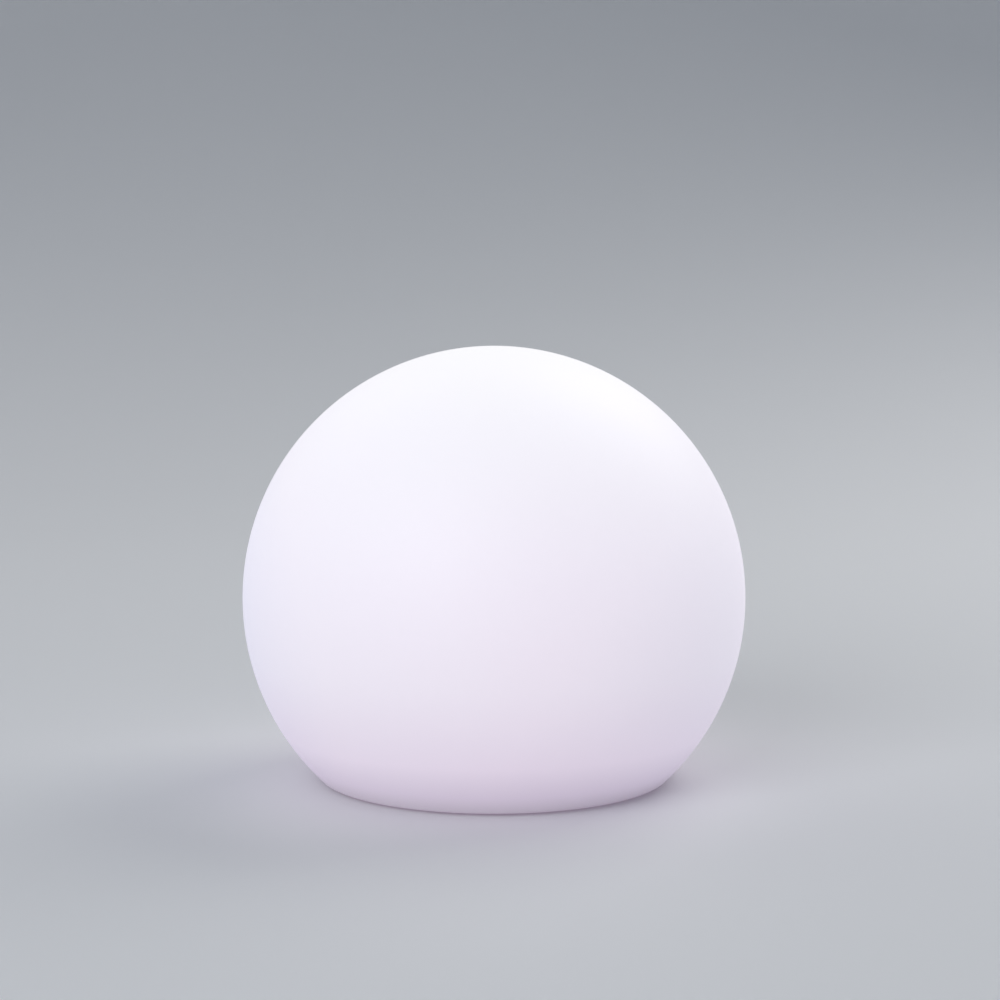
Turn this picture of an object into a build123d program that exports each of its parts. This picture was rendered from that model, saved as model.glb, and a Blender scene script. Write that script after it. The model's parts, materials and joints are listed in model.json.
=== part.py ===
from build123d import *

import math
import os

# A cordless garden globe light that stands on a flat base. A blown polyethylene globe is closed
# from below by a round base plate, which carries a sealed light module: control board, cell,
# light board and frosted dome. Millimetres, +Z up. The origin lies on the resting plane under
# the globe's centre, and the front faces -Y. Named sizes come first, and every place is worked
# out from them.

# ---------------------------------------------------------------- sizes: globe shell
globe_radius = 100.0
globe_wall = 2.5
globe_edge_radius = 4.5  # rounding between the globe and its flat underside
globe_inner_edge_min = 0.5  # least rounding left inside, where the wall is thick
rim_width = 9.63  # flat ring of the underside, from the seat to that rounding
ledge_width = 8.9  # ring that the base plate is screwed to, from the throat to the seat
seat_lip_radius = 0.8
insert_radius = 2.3
insert_length = 8.0
insert_wall = 2.0  # polyethylene around and above each insert
insert_run_out = 1.5  # free depth past the insert
insert_groove_depth = 0.3
insert_groove_width = 1.6

# ---------------------------------------------------------------- sizes: base plate
plate_thickness = 4.5
plate_gap = 0.4  # around the plate in its seat
plate_chamfer = 0.6
gasket_thickness = 1.0
foot_radius = 5.6
foot_recess = 1.0
foot_proud = 0.8  # how far the feet stand below the shell
foot_edge_radius = 0.5
foot_gap = 0.1

# ---------------------------------------------------------------- sizes: screws
base_screw_count = 6
base_screw_radius = 1.5
base_head_radius = 2.75
base_head_height = 1.9
base_head_recess = 2.3  # depth of the counterbore
housing_screw_count = 4
small_screw_radius = 1.25
small_head_radius = 2.2
small_head_height = 1.5
board_screw_radius = 1.0
board_head_radius = 1.9
board_head_height = 1.4
head_top_gap = 0.1  # between a housing screw's head and the foot that hides it
screw_gap = 0.25  # around a shank in a clearance hole, and around a head in its counterbore
thread_gap = 0.05  # around a shank where its thread bites
screw_end_gap = 0.8  # free depth past a screw's end
screw_bite = 6.5  # how far the housing and lens screws reach into their bosses
boss_floor = 1.2  # plastic past the free depth
cross_width = 0.6
cross_depth = 0.7
head_round_share = 1 / 3  # share of a head's height that its rounded edge takes
point_share = 1 / 3  # share of a shank's radius that its point is chamfered by
corner_angle = 45.0  # where the first foot, housing screw and board screw stand
back_angle = 90.0  # where the first screw of the light board stands

# ---------------------------------------------------------------- sizes: push button
button_radius = 6.0
button_face_recess = 0.3  # from the plate's underside up to the button's face
button_edge_radius = 0.6
button_flange_width = 1.6
button_flange_thickness = 1.0
button_gap = 0.15
ring_section = 0.6  # radius of the button seal's round section
ring_gap = 0.03
dish_radius = 9.5  # shallow dish in the plate that a finger finds
dish_depth = 0.5
symbol_radius = 2.5  # engraved power symbol, an open ring and a bar
symbol_stroke = 0.5
symbol_depth = 0.2
symbol_opening = 60.0  # degrees left open at the ring's top

# ---------------------------------------------------------------- sizes: charging port
port_outset = 0.5  # from the board screws' line out to the socket's middle
usb_length = 8.94
usb_width = 3.26
usb_height = 7.0
usb_wall = 0.35
usb_back = 0.8
usb_mouth_gap = 0.4  # from the pocket's ceiling up to the socket's mouth
usb_window_gap = 0.3
tongue_length = 6.69
tongue_thickness = 0.7
tongue_recess = 1.2
cover_length = 15.0
cover_thickness = 2.0
cover_reach = 10.5  # from the hinge axis to the cover's free edge
cover_corner_radius = 2.0
cover_chamfer = 0.3
cover_gap = 0.25
hinge_offset = 5.5  # from the hinge axis to the socket's centre
hinge_pin_radius = 0.5
hinge_pin_gap = 0.04
hinge_pin_grip = 2.5  # how far each end of the pin reaches into the plate
pin_seat_gap = 0.01
stub_length = 7.6
stub_width = 1.8
stub_depth = 0.8  # how far the stub reaches into the socket's mouth
stub_chamfer = 0.3
nail_notch_radius = 4.0
nail_notch_depth = 1.3

# ---------------------------------------------------------------- sizes: charging light
pipe_x = 13.0
pipe_radius = 1.2
pipe_gap = 0.05
pipe_flange_radius = 2.0
pipe_flange_thickness = 0.8
status_led_length = 2.0
status_led_width = 1.25
status_led_height = 0.8

# ---------------------------------------------------------------- sizes: module housing
housing_throat_gap = 2.0  # between the housing and the shell's throat
housing_wall = 2.2
housing_roof = 2.5
housing_edge_radius = 0.5
boss_wall = 1.7
boss_bury = 0.6  # how far each lower boss is sunk into the housing's wall
boss_setback = 0.2  # from the housing's outer face to each lens screw boss
seal_section = 0.72  # radius of a seal's round section
seal_groove_gap = 0.06

# ---------------------------------------------------------------- sizes: control board
board_thickness = 1.6
board_margin = 0.7  # from the cell holder's corners out to the board's edge
board_edge_gap = 0.8  # between the board and the housing's bosses
board_screw_inset = 5.0  # from the board's edge to its screws
board_screw_count = 4
standoff_radius = 2.8
tact_size = 6.0
tact_height = 3.0
tact_chamfer = 0.6
tact_bore_spare = 0.8  # depth of the switch's bore past the plunger at rest
plunger_radius = 1.75
plunger_gap = 0.05
plunger_lap = 0.4  # how far the plunger stays in the switch at rest
controller_length = 11.0
controller_width = 7.5
charger_length = 5.0
charger_width = 4.0
chip_height = 1.5
chip_chamfer = 0.25
chip_leg_width = 0.45
chip_leg_pitch = 1.27
chip_leg_reach = 1.0
chip_leg_height = 0.4
controller_inset = 8.5  # insets of the parts' middles, from the board screws' lines inwards
charger_inset = 7.5
inductor_inset = 9.5
capacitor_inset = 6.5
chips_inset = 2.5
back_row_inset = 3.5
inductor_size = 8.0
inductor_height = 4.0
inductor_groove = 0.6
inductor_chamfer = 1.3
capacitor_radius = 3.0
capacitor_pitch = 8.5
capacitor_rises = [0, 1, 2]  # how far each stands behind the row, in its own radii
capacitor_height = 7.0
capacitor_base_height = 0.9
capacitor_base_chamfer = 0.75
capacitor_edge_radius = 0.5

# ---------------------------------------------------------------- sizes: cell and holder
cell_radius = 9.2
cell_length = 64.0
cell_edge_radius = 0.8
terminal_radius = 3.2
terminal_height = 1.0
holder_floor = 1.6
holder_side = 1.2
holder_end = 1.8
holder_height = 12.0
cell_gap = 0.2  # between the cell and its cradle or strap
contact_thickness = 0.5
contact_width = 8.0
contact_gap = 0.2
contact_button_radius = 2.4
contact_button_height = 1.2
strap_width = 9.0
strap_thickness = 0.8
strap_tab = 5.0
strap_gap = 0.15
strap_headroom = 0.6  # from the strap up to the roof

# ---------------------------------------------------------------- sizes: light board and dome
spreader_thickness = 2.0
led_board_setback = 1.0  # from the spreader's edge to the board's edge
led_board_thickness = 1.6
led_screw_inset = 4.5  # from the light board's edge to its screws
led_screw_count = 3
led_screw_bite = 5.0
led_size = 5.0
led_height = 1.6
led_window_radius = 1.9
led_window_depth = 0.3
colour_led_inset = 9.0  # from the screws' circle to the coloured lights
colour_led_count = 12
white_led_circle = 8.5
white_led_count = 4
reflector_thickness = 0.4
reflector_gap = 0.3
dome_gap = 1.5  # from the spreader's edge to the dome's skirt
dome_wall = 2.0
dome_skirt = 6.0
dome_rise = 18.0  # from the skirt's top to the crown
dome_shoulder_radius = 8.0
dome_flange_thickness = 2.0
dome_flange_setback = 0.7  # from the housing's outer face to the flange's edge
lens_seal_land = 1.6  # solid width between the lens screws and the seal's groove
lens_screw_count = 4

# ---------------------------------------------------------------- sizes: cable to the light board
wire_count = 5
wire_radius = 0.55
wire_pitch = 1.5
plug_outset = 1.0  # from the board screws' line out to the plug's middle
wire_shift = 4.0  # how much nearer to the middle the wires pass the roof
wire_lean = 35.0  # degrees that their middle leans from the vertical
bend_share = 0.45  # share of the leaning run that each bend takes
slot_gap = 0.6
plug_length = 10.0
plug_width = 4.0
plug_height = 5.0
plug_stand_out = 1.5  # how far the plug stands above its socket
socket_wall = 0.8
socket_floor = 1.0
socket_gap = 0.1

# ---------------------------------------------------------------- places worked out from the sizes
# across, from the cell outwards
cell_bore = cell_radius + cell_gap
strap_radius = cell_bore + strap_thickness
cell_half_length = (cell_length + terminal_height) / 2
cell_start_x = -cell_half_length
cell_end_x = cell_start_x + cell_length
contact_x = cell_half_length + contact_button_height
holder_inner_x = contact_x + contact_thickness
holder_half_length = holder_inner_x + holder_end
holder_half_width = cell_bore + holder_side

board_radius = math.hypot(holder_half_length, holder_half_width) + board_margin
board_screw_circle = board_radius - board_screw_inset
board_screw_reach = board_screw_circle * math.cos(math.radians(corner_angle))
boss_radius = small_screw_radius + boss_wall
housing_boss_circle = board_radius + board_edge_gap + boss_radius
housing_bore = housing_boss_circle + boss_radius - boss_bury
housing_radius = housing_bore + housing_wall
housing_seal_circle = (housing_bore + housing_radius) / 2

throat_radius = housing_radius + housing_throat_gap
seat_radius = throat_radius + ledge_width
plate_radius = seat_radius - plate_gap
base_screw_circle = (throat_radius + seat_radius) / 2
edge_centre_x = seat_radius + rim_width
edge_drop = math.sqrt((globe_radius - globe_edge_radius) ** 2 - edge_centre_x**2)

lens_screw_circle = housing_radius - boss_radius - boss_setback
lens_seal_circle = (
    lens_screw_circle - small_screw_radius - screw_gap - lens_seal_land - seal_section
)
dome_flange_radius = housing_radius - dome_flange_setback
dome_radius = lens_seal_circle - 2 * seal_section
dome_bore = dome_radius - dome_wall
spreader_radius = dome_bore - dome_gap
led_board_radius = spreader_radius - led_board_setback
led_boss_radius = board_screw_radius + boss_wall
led_screw_circle = led_board_radius - led_screw_inset
colour_led_circle = led_screw_circle - colour_led_inset

# upwards, from the resting plane
underside_z = foot_proud
plate_top_z = underside_z + plate_thickness
ledge_z = plate_top_z + gasket_thickness
foot_ceiling_z = underside_z + foot_recess
globe_centre_z = underside_z + globe_edge_radius + edge_drop
boss_height = screw_bite + screw_end_gap + boss_floor

pocket_ceiling_z = underside_z + cover_thickness + cover_gap
usb_mouth_z = pocket_ceiling_z + usb_mouth_gap
board_z = usb_mouth_z + usb_height
board_top_z = board_z + board_thickness
standoff_height = board_z - plate_top_z
hinge_z = underside_z + cover_thickness / 2
cover_top_z = underside_z + cover_thickness

button_face_z = underside_z + button_face_recess
button_top_z = plate_top_z + button_flange_thickness
ring_z = (button_face_z + plate_top_z) / 2
tact_z = board_z - tact_height
status_led_z = board_z - status_led_height

cradle_z = board_top_z + holder_floor
cell_z = cradle_z + cell_bore
roof_z = cell_z + strap_radius + strap_headroom
roof_top_z = roof_z + housing_roof
led_board_z = roof_top_z + spreader_thickness
led_z = led_board_z + led_board_thickness
dome_spring_z = roof_top_z + dome_skirt

# at the port, the button, the cable and the small parts
controller_x = controller_inset - board_screw_reach
capacitor_x = capacitor_inset - board_screw_reach
charger_x = board_screw_reach - charger_inset
inductor_x = board_screw_reach - inductor_inset
chips_y = chips_inset - board_screw_reach
back_row_y = board_screw_reach - back_row_inset
port_y = board_screw_reach + port_outset
hinge_y = port_y - hinge_offset
pocket_near_y = hinge_y - cover_thickness / 2 - cover_gap
pocket_far_y = hinge_y + cover_reach + cover_gap
button_bore = button_radius + button_gap
ring_circle = button_bore - ring_gap - ring_section
plug_y = -board_screw_reach - plug_outset
slot_y = plug_y + wire_shift
socket_length = plug_length + 2 * (socket_gap + socket_wall)
socket_width = plug_width + 2 * (socket_gap + socket_wall)
socket_height = socket_floor + plug_height - plug_stand_out
plug_top_z = board_top_z + socket_floor + plug_height
slot_length = (wire_count - 1) * wire_pitch + 2 * (wire_radius + slot_gap)
slot_width = 2 * (wire_radius + slot_gap)


def round_part(radius, bottom_z, height):
    """A plain cylinder about the Z axis, to cut or to add where a block needs one."""
    with BuildPart() as made:
        with BuildSketch(Plane.XY.offset(bottom_z)):
            Circle(radius)
        extrude(amount=height)
    return made.part


def globe_face(inset, edge_radius):
    """Half of the globe's section, drawn in by an inset: a flat floor, a rounded edge, a circle."""
    radius = globe_radius - inset
    floor_z = underside_z + inset
    face_edge_drop = globe_centre_z - floor_z - edge_radius
    edge_x = math.sqrt((radius - edge_radius) ** 2 - face_edge_drop**2)
    edge_angle = math.degrees(math.atan2(face_edge_drop, edge_x))
    with BuildSketch() as made:
        with BuildLine():
            Line((0, floor_z), (edge_x, floor_z))
            CenterArc((edge_x, floor_z + edge_radius), edge_radius, -90, 90 - edge_angle)
            CenterArc((0, globe_centre_z), radius, -edge_angle, 90 + edge_angle)
            Line((0, globe_centre_z + radius), (0, floor_z))
        make_face()
    return made.sketch


def dome_face(radius, rise, shoulder_radius):
    """Half of a dome's section: a straight skirt, a rounded shoulder and a crown tangent to it."""
    shoulder_x = radius - shoulder_radius
    crown_radius = (shoulder_x**2 + rise**2 - shoulder_radius**2) / (2 * (rise - shoulder_radius))
    crown_drop = crown_radius - rise
    shoulder_angle = math.degrees(math.atan2(crown_drop, shoulder_x))
    with BuildSketch() as made:
        with BuildLine():
            Line((0, roof_top_z), (radius, roof_top_z))
            Line((radius, roof_top_z), (radius, dome_spring_z))
            CenterArc((shoulder_x, dome_spring_z), shoulder_radius, 0, shoulder_angle)
            CenterArc(
                (0, dome_spring_z - crown_drop),
                crown_radius,
                shoulder_angle,
                90 - shoulder_angle,
            )
            Line((0, dome_spring_z + rise), (0, roof_top_z))
        make_face()
    return made.sketch


def seal_ring(circle_radius, section_radius, centre_z):
    """A seal of round section about the Z axis."""
    with BuildPart() as made:
        with BuildSketch(Plane.XZ):
            with Locations((circle_radius, centre_z)):
                Circle(section_radius)
        revolve(axis=Axis.Z)
    return made.part


def seal_groove(circle_radius, section_radius, top_z):
    """The square groove for such a seal, open at top_z, to cut from what holds it."""
    with BuildPart() as made:
        with BuildSketch(Plane.XY.offset(top_z - 2 * section_radius)):
            Circle(circle_radius + section_radius + seal_groove_gap)
            Circle(circle_radius - section_radius - seal_groove_gap, mode=Mode.SUBTRACT)
        extrude(amount=2 * section_radius)
    return made.part


def cross_head_screw(head_radius, head_height, shank_radius, length):
    """A pan head screw whose head hangs below z 0 and whose shank rises from it."""
    with BuildPart() as made:
        with BuildSketch(Plane.XY.offset(-head_height)):
            Circle(head_radius)
        extrude(amount=head_height)
        fillet(made.edges().group_by(Axis.Z)[0], head_height * head_round_share)
        with BuildSketch():
            Circle(shank_radius)
        extrude(amount=length)
        chamfer(made.edges().group_by(Axis.Z)[-1], shank_radius * point_share)
        with BuildSketch(Plane.XY.offset(-head_height)):
            Rectangle(head_radius, cross_width)
            Rectangle(cross_width, head_radius)
        extrude(amount=cross_depth, mode=Mode.SUBTRACT)
    return made.part


def leg_chip(length, width, leg_count):
    """A moulded chip on the X-Y plane with a row of legs along each long side."""
    with BuildPart() as made:
        with BuildSketch():
            Rectangle(length, width)
        extrude(amount=chip_height)
        chamfer(made.edges().group_by(Axis.Z)[-1], chip_chamfer)
        with BuildSketch():
            with GridLocations(chip_leg_pitch, width + chip_leg_reach, leg_count, 2):
                Rectangle(chip_leg_width, chip_leg_reach)
        extrude(amount=chip_leg_height)
    return made.part


def led_chip():
    """A square light chip on the X-Y plane, with a round window sunk in its top."""
    with BuildPart() as made:
        with BuildSketch():
            Rectangle(led_size, led_size)
        extrude(amount=led_height)
        with BuildSketch(Plane.XY.offset(led_height - led_window_depth)):
            Circle(led_window_radius)
        extrude(amount=led_window_depth, mode=Mode.SUBTRACT)
    return made.part


# ---------------------------------------------------------------- globe shell
inner_edge_radius = max(globe_edge_radius - globe_wall, globe_inner_edge_min)
outer_globe = globe_face(0, globe_edge_radius)
inner_globe = globe_face(globe_wall, inner_edge_radius)
insert_boss_height = insert_length + insert_run_out + insert_wall
ledge_height = ledge_z - underside_z

with BuildPart() as globe_shell:
    with BuildSketch(Plane.XZ):
        add(outer_globe)
        add(inner_globe, mode=Mode.SUBTRACT)
        with Locations((0, underside_z)):
            Rectangle(
                seat_radius + globe_wall,
                ledge_height + globe_wall,
                align=(Align.MIN, Align.MIN),
            )
            Rectangle(
                throat_radius,
                ledge_height + globe_wall,
                align=(Align.MIN, Align.MIN),
                mode=Mode.SUBTRACT,
            )
            Rectangle(
                seat_radius,
                ledge_height,
                align=(Align.MIN, Align.MIN),
                mode=Mode.SUBTRACT,
            )
    revolve(axis=Axis.Z)
    low_rims = globe_shell.edges().group_by(Axis.Z)[0].filter_by(GeomType.CIRCLE)
    fillet(low_rims.sort_by(SortBy.RADIUS)[0], seat_lip_radius)
    with BuildSketch(Plane.XY.offset(ledge_z)):
        with PolarLocations(base_screw_circle, base_screw_count):
            Circle(insert_radius + insert_wall)
    extrude(amount=insert_boss_height)
    with BuildSketch(Plane.XY.offset(ledge_z)):
        with PolarLocations(base_screw_circle, base_screw_count):
            Circle(insert_radius)
    extrude(amount=insert_length, mode=Mode.SUBTRACT)
    with BuildSketch(Plane.XY.offset(ledge_z + insert_length)):
        with PolarLocations(base_screw_circle, base_screw_count):
            Circle(base_screw_radius + screw_gap)
    extrude(amount=insert_run_out, mode=Mode.SUBTRACT)
globe_shell.part.label = "globe_shell"

with BuildPart() as threaded_inserts:
    with BuildSketch(Plane.XY.offset(ledge_z)):
        with PolarLocations(base_screw_circle, base_screw_count):
            Circle(insert_radius)
            Circle(base_screw_radius + thread_gap, mode=Mode.SUBTRACT)
    extrude(amount=insert_length)
    with BuildSketch(Plane.XY.offset(ledge_z + (insert_length - insert_groove_width) / 2)):
        with PolarLocations(base_screw_circle, base_screw_count):
            Circle(insert_radius)
            Circle(insert_radius - insert_groove_depth, mode=Mode.SUBTRACT)
    extrude(amount=insert_groove_width, mode=Mode.SUBTRACT)
threaded_inserts.part.label = "threaded_inserts"

with BuildPart() as base_gasket:
    with BuildSketch(Plane.XY.offset(plate_top_z)):
        Circle(plate_radius)
        Circle(throat_radius, mode=Mode.SUBTRACT)
        with PolarLocations(base_screw_circle, base_screw_count):
            Circle(base_screw_radius + screw_gap, mode=Mode.SUBTRACT)
    extrude(amount=gasket_thickness)
base_gasket.part.label = "base_gasket"

# ---------------------------------------------------------------- base plate
housing_head_seat_z = foot_ceiling_z + head_top_gap + small_head_height
base_head_seat_z = underside_z + base_head_recess
housing_groove = seal_groove(housing_seal_circle, seal_section, plate_top_z)
pocket_length = cover_length + 2 * cover_gap
pin_length = pocket_length + 2 * hinge_pin_grip

with BuildPart() as base_plate:
    with BuildSketch(Plane.XY.offset(underside_z)):
        Circle(plate_radius)
    extrude(amount=plate_thickness)
    chamfer(base_plate.edges().group_by(Axis.Z)[0], plate_chamfer)
    with BuildSketch(Plane.XY.offset(plate_top_z)):
        with PolarLocations(board_screw_circle, board_screw_count, start_angle=corner_angle):
            Circle(standoff_radius)
    extrude(amount=standoff_height)
    with BuildSketch(Plane.XY.offset(board_z)):
        with PolarLocations(board_screw_circle, board_screw_count, start_angle=corner_angle):
            Circle(board_screw_radius + thread_gap)
    extrude(amount=-standoff_height, mode=Mode.SUBTRACT)
    add(housing_groove, mode=Mode.SUBTRACT)
    # feet, and the housing screws that they hide
    with BuildSketch(Plane.XY.offset(underside_z)):
        with PolarLocations(housing_boss_circle, housing_screw_count, start_angle=corner_angle):
            Circle(foot_radius + foot_gap)
    extrude(amount=foot_recess, mode=Mode.SUBTRACT)
    with BuildSketch(Plane.XY.offset(foot_ceiling_z)):
        with PolarLocations(housing_boss_circle, housing_screw_count, start_angle=corner_angle):
            Circle(small_head_radius + screw_gap)
    extrude(amount=housing_head_seat_z - foot_ceiling_z, mode=Mode.SUBTRACT)
    with BuildSketch(Plane.XY.offset(housing_head_seat_z)):
        with PolarLocations(housing_boss_circle, housing_screw_count, start_angle=corner_angle):
            Circle(small_screw_radius + screw_gap)
    extrude(amount=plate_top_z - housing_head_seat_z, mode=Mode.SUBTRACT)
    # screws into the shell
    with BuildSketch(Plane.XY.offset(underside_z)):
        with PolarLocations(base_screw_circle, base_screw_count):
            Circle(base_head_radius + screw_gap)
    extrude(amount=base_head_recess, mode=Mode.SUBTRACT)
    with BuildSketch(Plane.XY.offset(base_head_seat_z)):
        with PolarLocations(base_screw_circle, base_screw_count):
            Circle(base_screw_radius + screw_gap)
    extrude(amount=plate_top_z - base_head_seat_z, mode=Mode.SUBTRACT)
    # push button
    add(round_part(dish_radius, underside_z, dish_depth), mode=Mode.SUBTRACT)
    add(round_part(button_bore, underside_z, plate_thickness), mode=Mode.SUBTRACT)
    # charging port: pocket, nail notch, window and pin seats
    with BuildSketch(Plane.XY.offset(underside_z)) as pocket:
        with Locations((0, pocket_near_y)):
            Rectangle(
                pocket_length,
                pocket_far_y - pocket_near_y,
                align=(Align.CENTER, Align.MIN),
            )
        fillet(pocket.vertices().sort_by(Axis.Y)[-2:], cover_corner_radius + cover_gap)
    extrude(amount=pocket_ceiling_z - underside_z, mode=Mode.SUBTRACT)
    with BuildSketch(Plane.XY.offset(underside_z)):
        with Locations((0, pocket_far_y)):
            Circle(nail_notch_radius)
    extrude(amount=nail_notch_depth, mode=Mode.SUBTRACT)
    with BuildSketch(Plane.XY.offset(pocket_ceiling_z)):
        with Locations((0, port_y)):
            SlotOverall(usb_length + 2 * usb_window_gap, usb_width + 2 * usb_window_gap)
    extrude(amount=plate_top_z - pocket_ceiling_z, mode=Mode.SUBTRACT)
    with BuildSketch(Plane.YZ.offset(-pin_length / 2)):
        with Locations((hinge_y, hinge_z)):
            Circle(hinge_pin_radius + pin_seat_gap)
    extrude(amount=pin_length, mode=Mode.SUBTRACT)
    # charging light
    with BuildSketch(Plane.XY.offset(underside_z)):
        with Locations((pipe_x, port_y)):
            Circle(pipe_radius + pipe_gap)
    extrude(amount=plate_thickness, mode=Mode.SUBTRACT)
base_plate.part.label = "base_plate"

base_screw_length = (
    plate_top_z - base_head_seat_z + gasket_thickness + insert_length - screw_end_gap
)
base_screw = cross_head_screw(
    base_head_radius, base_head_height, base_screw_radius, base_screw_length
)
with BuildPart() as base_screws:
    with Locations((0, 0, base_head_seat_z)):
        with PolarLocations(base_screw_circle, base_screw_count):
            add(base_screw)
base_screws.part.label = "base_screws"

housing_screw_length = plate_top_z - housing_head_seat_z + screw_bite
housing_screw = cross_head_screw(
    small_head_radius, small_head_height, small_screw_radius, housing_screw_length
)
with BuildPart() as housing_screws:
    with Locations((0, 0, housing_head_seat_z)):
        with PolarLocations(housing_boss_circle, housing_screw_count, start_angle=corner_angle):
            add(housing_screw)
housing_screws.part.label = "housing_screws"

with BuildPart() as rubber_feet:
    with BuildSketch():
        with PolarLocations(housing_boss_circle, housing_screw_count, start_angle=corner_angle):
            Circle(foot_radius)
    extrude(amount=foot_ceiling_z)
    fillet(rubber_feet.edges().group_by(Axis.Z)[0], foot_edge_radius)
rubber_feet.part.label = "rubber_feet"

with BuildPart() as light_pipe:
    with BuildSketch(Plane.XY.offset(underside_z)):
        with Locations((pipe_x, port_y)):
            Circle(pipe_radius)
    extrude(amount=status_led_z - underside_z)
    with BuildSketch(Plane.XY.offset(plate_top_z)):
        with Locations((pipe_x, port_y)):
            Circle(pipe_flange_radius)
    extrude(amount=pipe_flange_thickness)
light_pipe.part.label = "light_pipe"

# ---------------------------------------------------------------- push button
ring_groove_radius = ring_circle - ring_section - ring_gap
ring_groove_half = ring_section + ring_gap

with BuildPart() as button_cap:
    with BuildSketch(Plane.XY.offset(button_face_z)):
        Circle(button_radius)
    extrude(amount=plate_top_z - button_face_z)
    fillet(button_cap.edges().group_by(Axis.Z)[0], button_edge_radius)
    with BuildSketch(Plane.XY.offset(plate_top_z)):
        Circle(button_radius + button_flange_width)
    extrude(amount=button_flange_thickness)
    with BuildSketch(Plane.XY.offset(ring_z - ring_groove_half)):
        Circle(button_radius)
        Circle(ring_groove_radius, mode=Mode.SUBTRACT)
    extrude(amount=2 * ring_groove_half, mode=Mode.SUBTRACT)
    with BuildSketch(Plane.XY.offset(button_face_z)):
        Circle(symbol_radius)
        Circle(symbol_radius - symbol_stroke, mode=Mode.SUBTRACT)
        symbol_gap_width = 2 * symbol_radius * math.sin(math.radians(symbol_opening / 2))
        Rectangle(
            symbol_gap_width,
            symbol_radius,
            align=(Align.CENTER, Align.MIN),
            mode=Mode.SUBTRACT,
        )
        Rectangle(symbol_stroke, symbol_radius, align=(Align.CENTER, Align.MIN))
    extrude(amount=symbol_depth, mode=Mode.SUBTRACT)
button_cap.part.label = "button_cap"

with BuildPart() as button_o_ring:
    add(seal_ring(ring_circle, ring_section, ring_z))
button_o_ring.part.label = "button_o_ring"

with BuildPart() as switch_plunger:
    with BuildSketch(Plane.XY.offset(button_top_z)):
        Circle(plunger_radius)
    extrude(amount=tact_z + plunger_lap - button_top_z)
switch_plunger.part.label = "switch_plunger"

with BuildPart() as tact_switch:
    with BuildSketch(Plane.XY.offset(tact_z)):
        Rectangle(tact_size, tact_size)
    extrude(amount=tact_height)
    chamfer(tact_switch.edges().filter_by(Axis.Z), tact_chamfer)
    add(
        round_part(plunger_radius + plunger_gap, tact_z, plunger_lap + tact_bore_spare),
        mode=Mode.SUBTRACT,
    )
tact_switch.part.label = "tact_switch"

# ---------------------------------------------------------------- charging port
with BuildPart() as usb_socket:
    with BuildSketch(Plane.XY.offset(usb_mouth_z)):
        with Locations((0, port_y)):
            SlotOverall(usb_length, usb_width)
    extrude(amount=usb_height)
    with BuildSketch(Plane.XY.offset(usb_mouth_z)):
        with Locations((0, port_y)):
            SlotOverall(usb_length - 2 * usb_wall, usb_width - 2 * usb_wall)
    extrude(amount=usb_height - usb_back, mode=Mode.SUBTRACT)
usb_socket.part.label = "usb_socket"

with BuildPart() as usb_tongue:
    with BuildSketch(Plane.XY.offset(usb_mouth_z + tongue_recess)):
        with Locations((0, port_y)):
            Rectangle(tongue_length, tongue_thickness)
    extrude(amount=usb_height - usb_back - tongue_recess)
usb_tongue.part.label = "usb_tongue"

with BuildPart() as port_cover:
    with BuildSketch(Plane.XY.offset(underside_z)) as cover_plan:
        with Locations((0, hinge_y)):
            Rectangle(cover_length, cover_reach, align=(Align.CENTER, Align.MIN))
        fillet(cover_plan.vertices().sort_by(Axis.Y)[-2:], cover_corner_radius)
    extrude(amount=cover_thickness)
    chamfer(port_cover.edges().group_by(Axis.Z)[0].sort_by(Axis.Y)[1:], cover_chamfer)
    with BuildSketch(Plane.YZ.offset(-cover_length / 2)):
        with Locations((hinge_y, hinge_z)):
            Circle(cover_thickness / 2)
    extrude(amount=cover_length)
    with BuildSketch(Plane.YZ.offset(-cover_length / 2)):
        with Locations((hinge_y, hinge_z)):
            Circle(hinge_pin_radius + hinge_pin_gap)
    extrude(amount=cover_length, mode=Mode.SUBTRACT)
port_cover.part.label = "port_cover"

with BuildPart() as port_cover_seal:
    with BuildSketch(Plane.XY.offset(cover_top_z)):
        with Locations((0, port_y)):
            SlotOverall(stub_length, stub_width)
    extrude(amount=usb_mouth_z + stub_depth - cover_top_z)
    chamfer(port_cover_seal.edges().group_by(Axis.Z)[-1], stub_chamfer)
port_cover_seal.part.label = "port_cover_seal"

with BuildPart() as port_cover_pin:
    with BuildSketch(Plane.YZ.offset(-pin_length / 2)):
        with Locations((hinge_y, hinge_z)):
            Circle(hinge_pin_radius)
    extrude(amount=pin_length)
port_cover_pin.part.label = "port_cover_pin"

# ---------------------------------------------------------------- module housing
lens_groove = seal_groove(lens_seal_circle, seal_section, roof_top_z)
lens_bite_floor_z = roof_top_z - boss_height
led_boss_height = led_screw_bite + screw_end_gap + boss_floor

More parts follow.
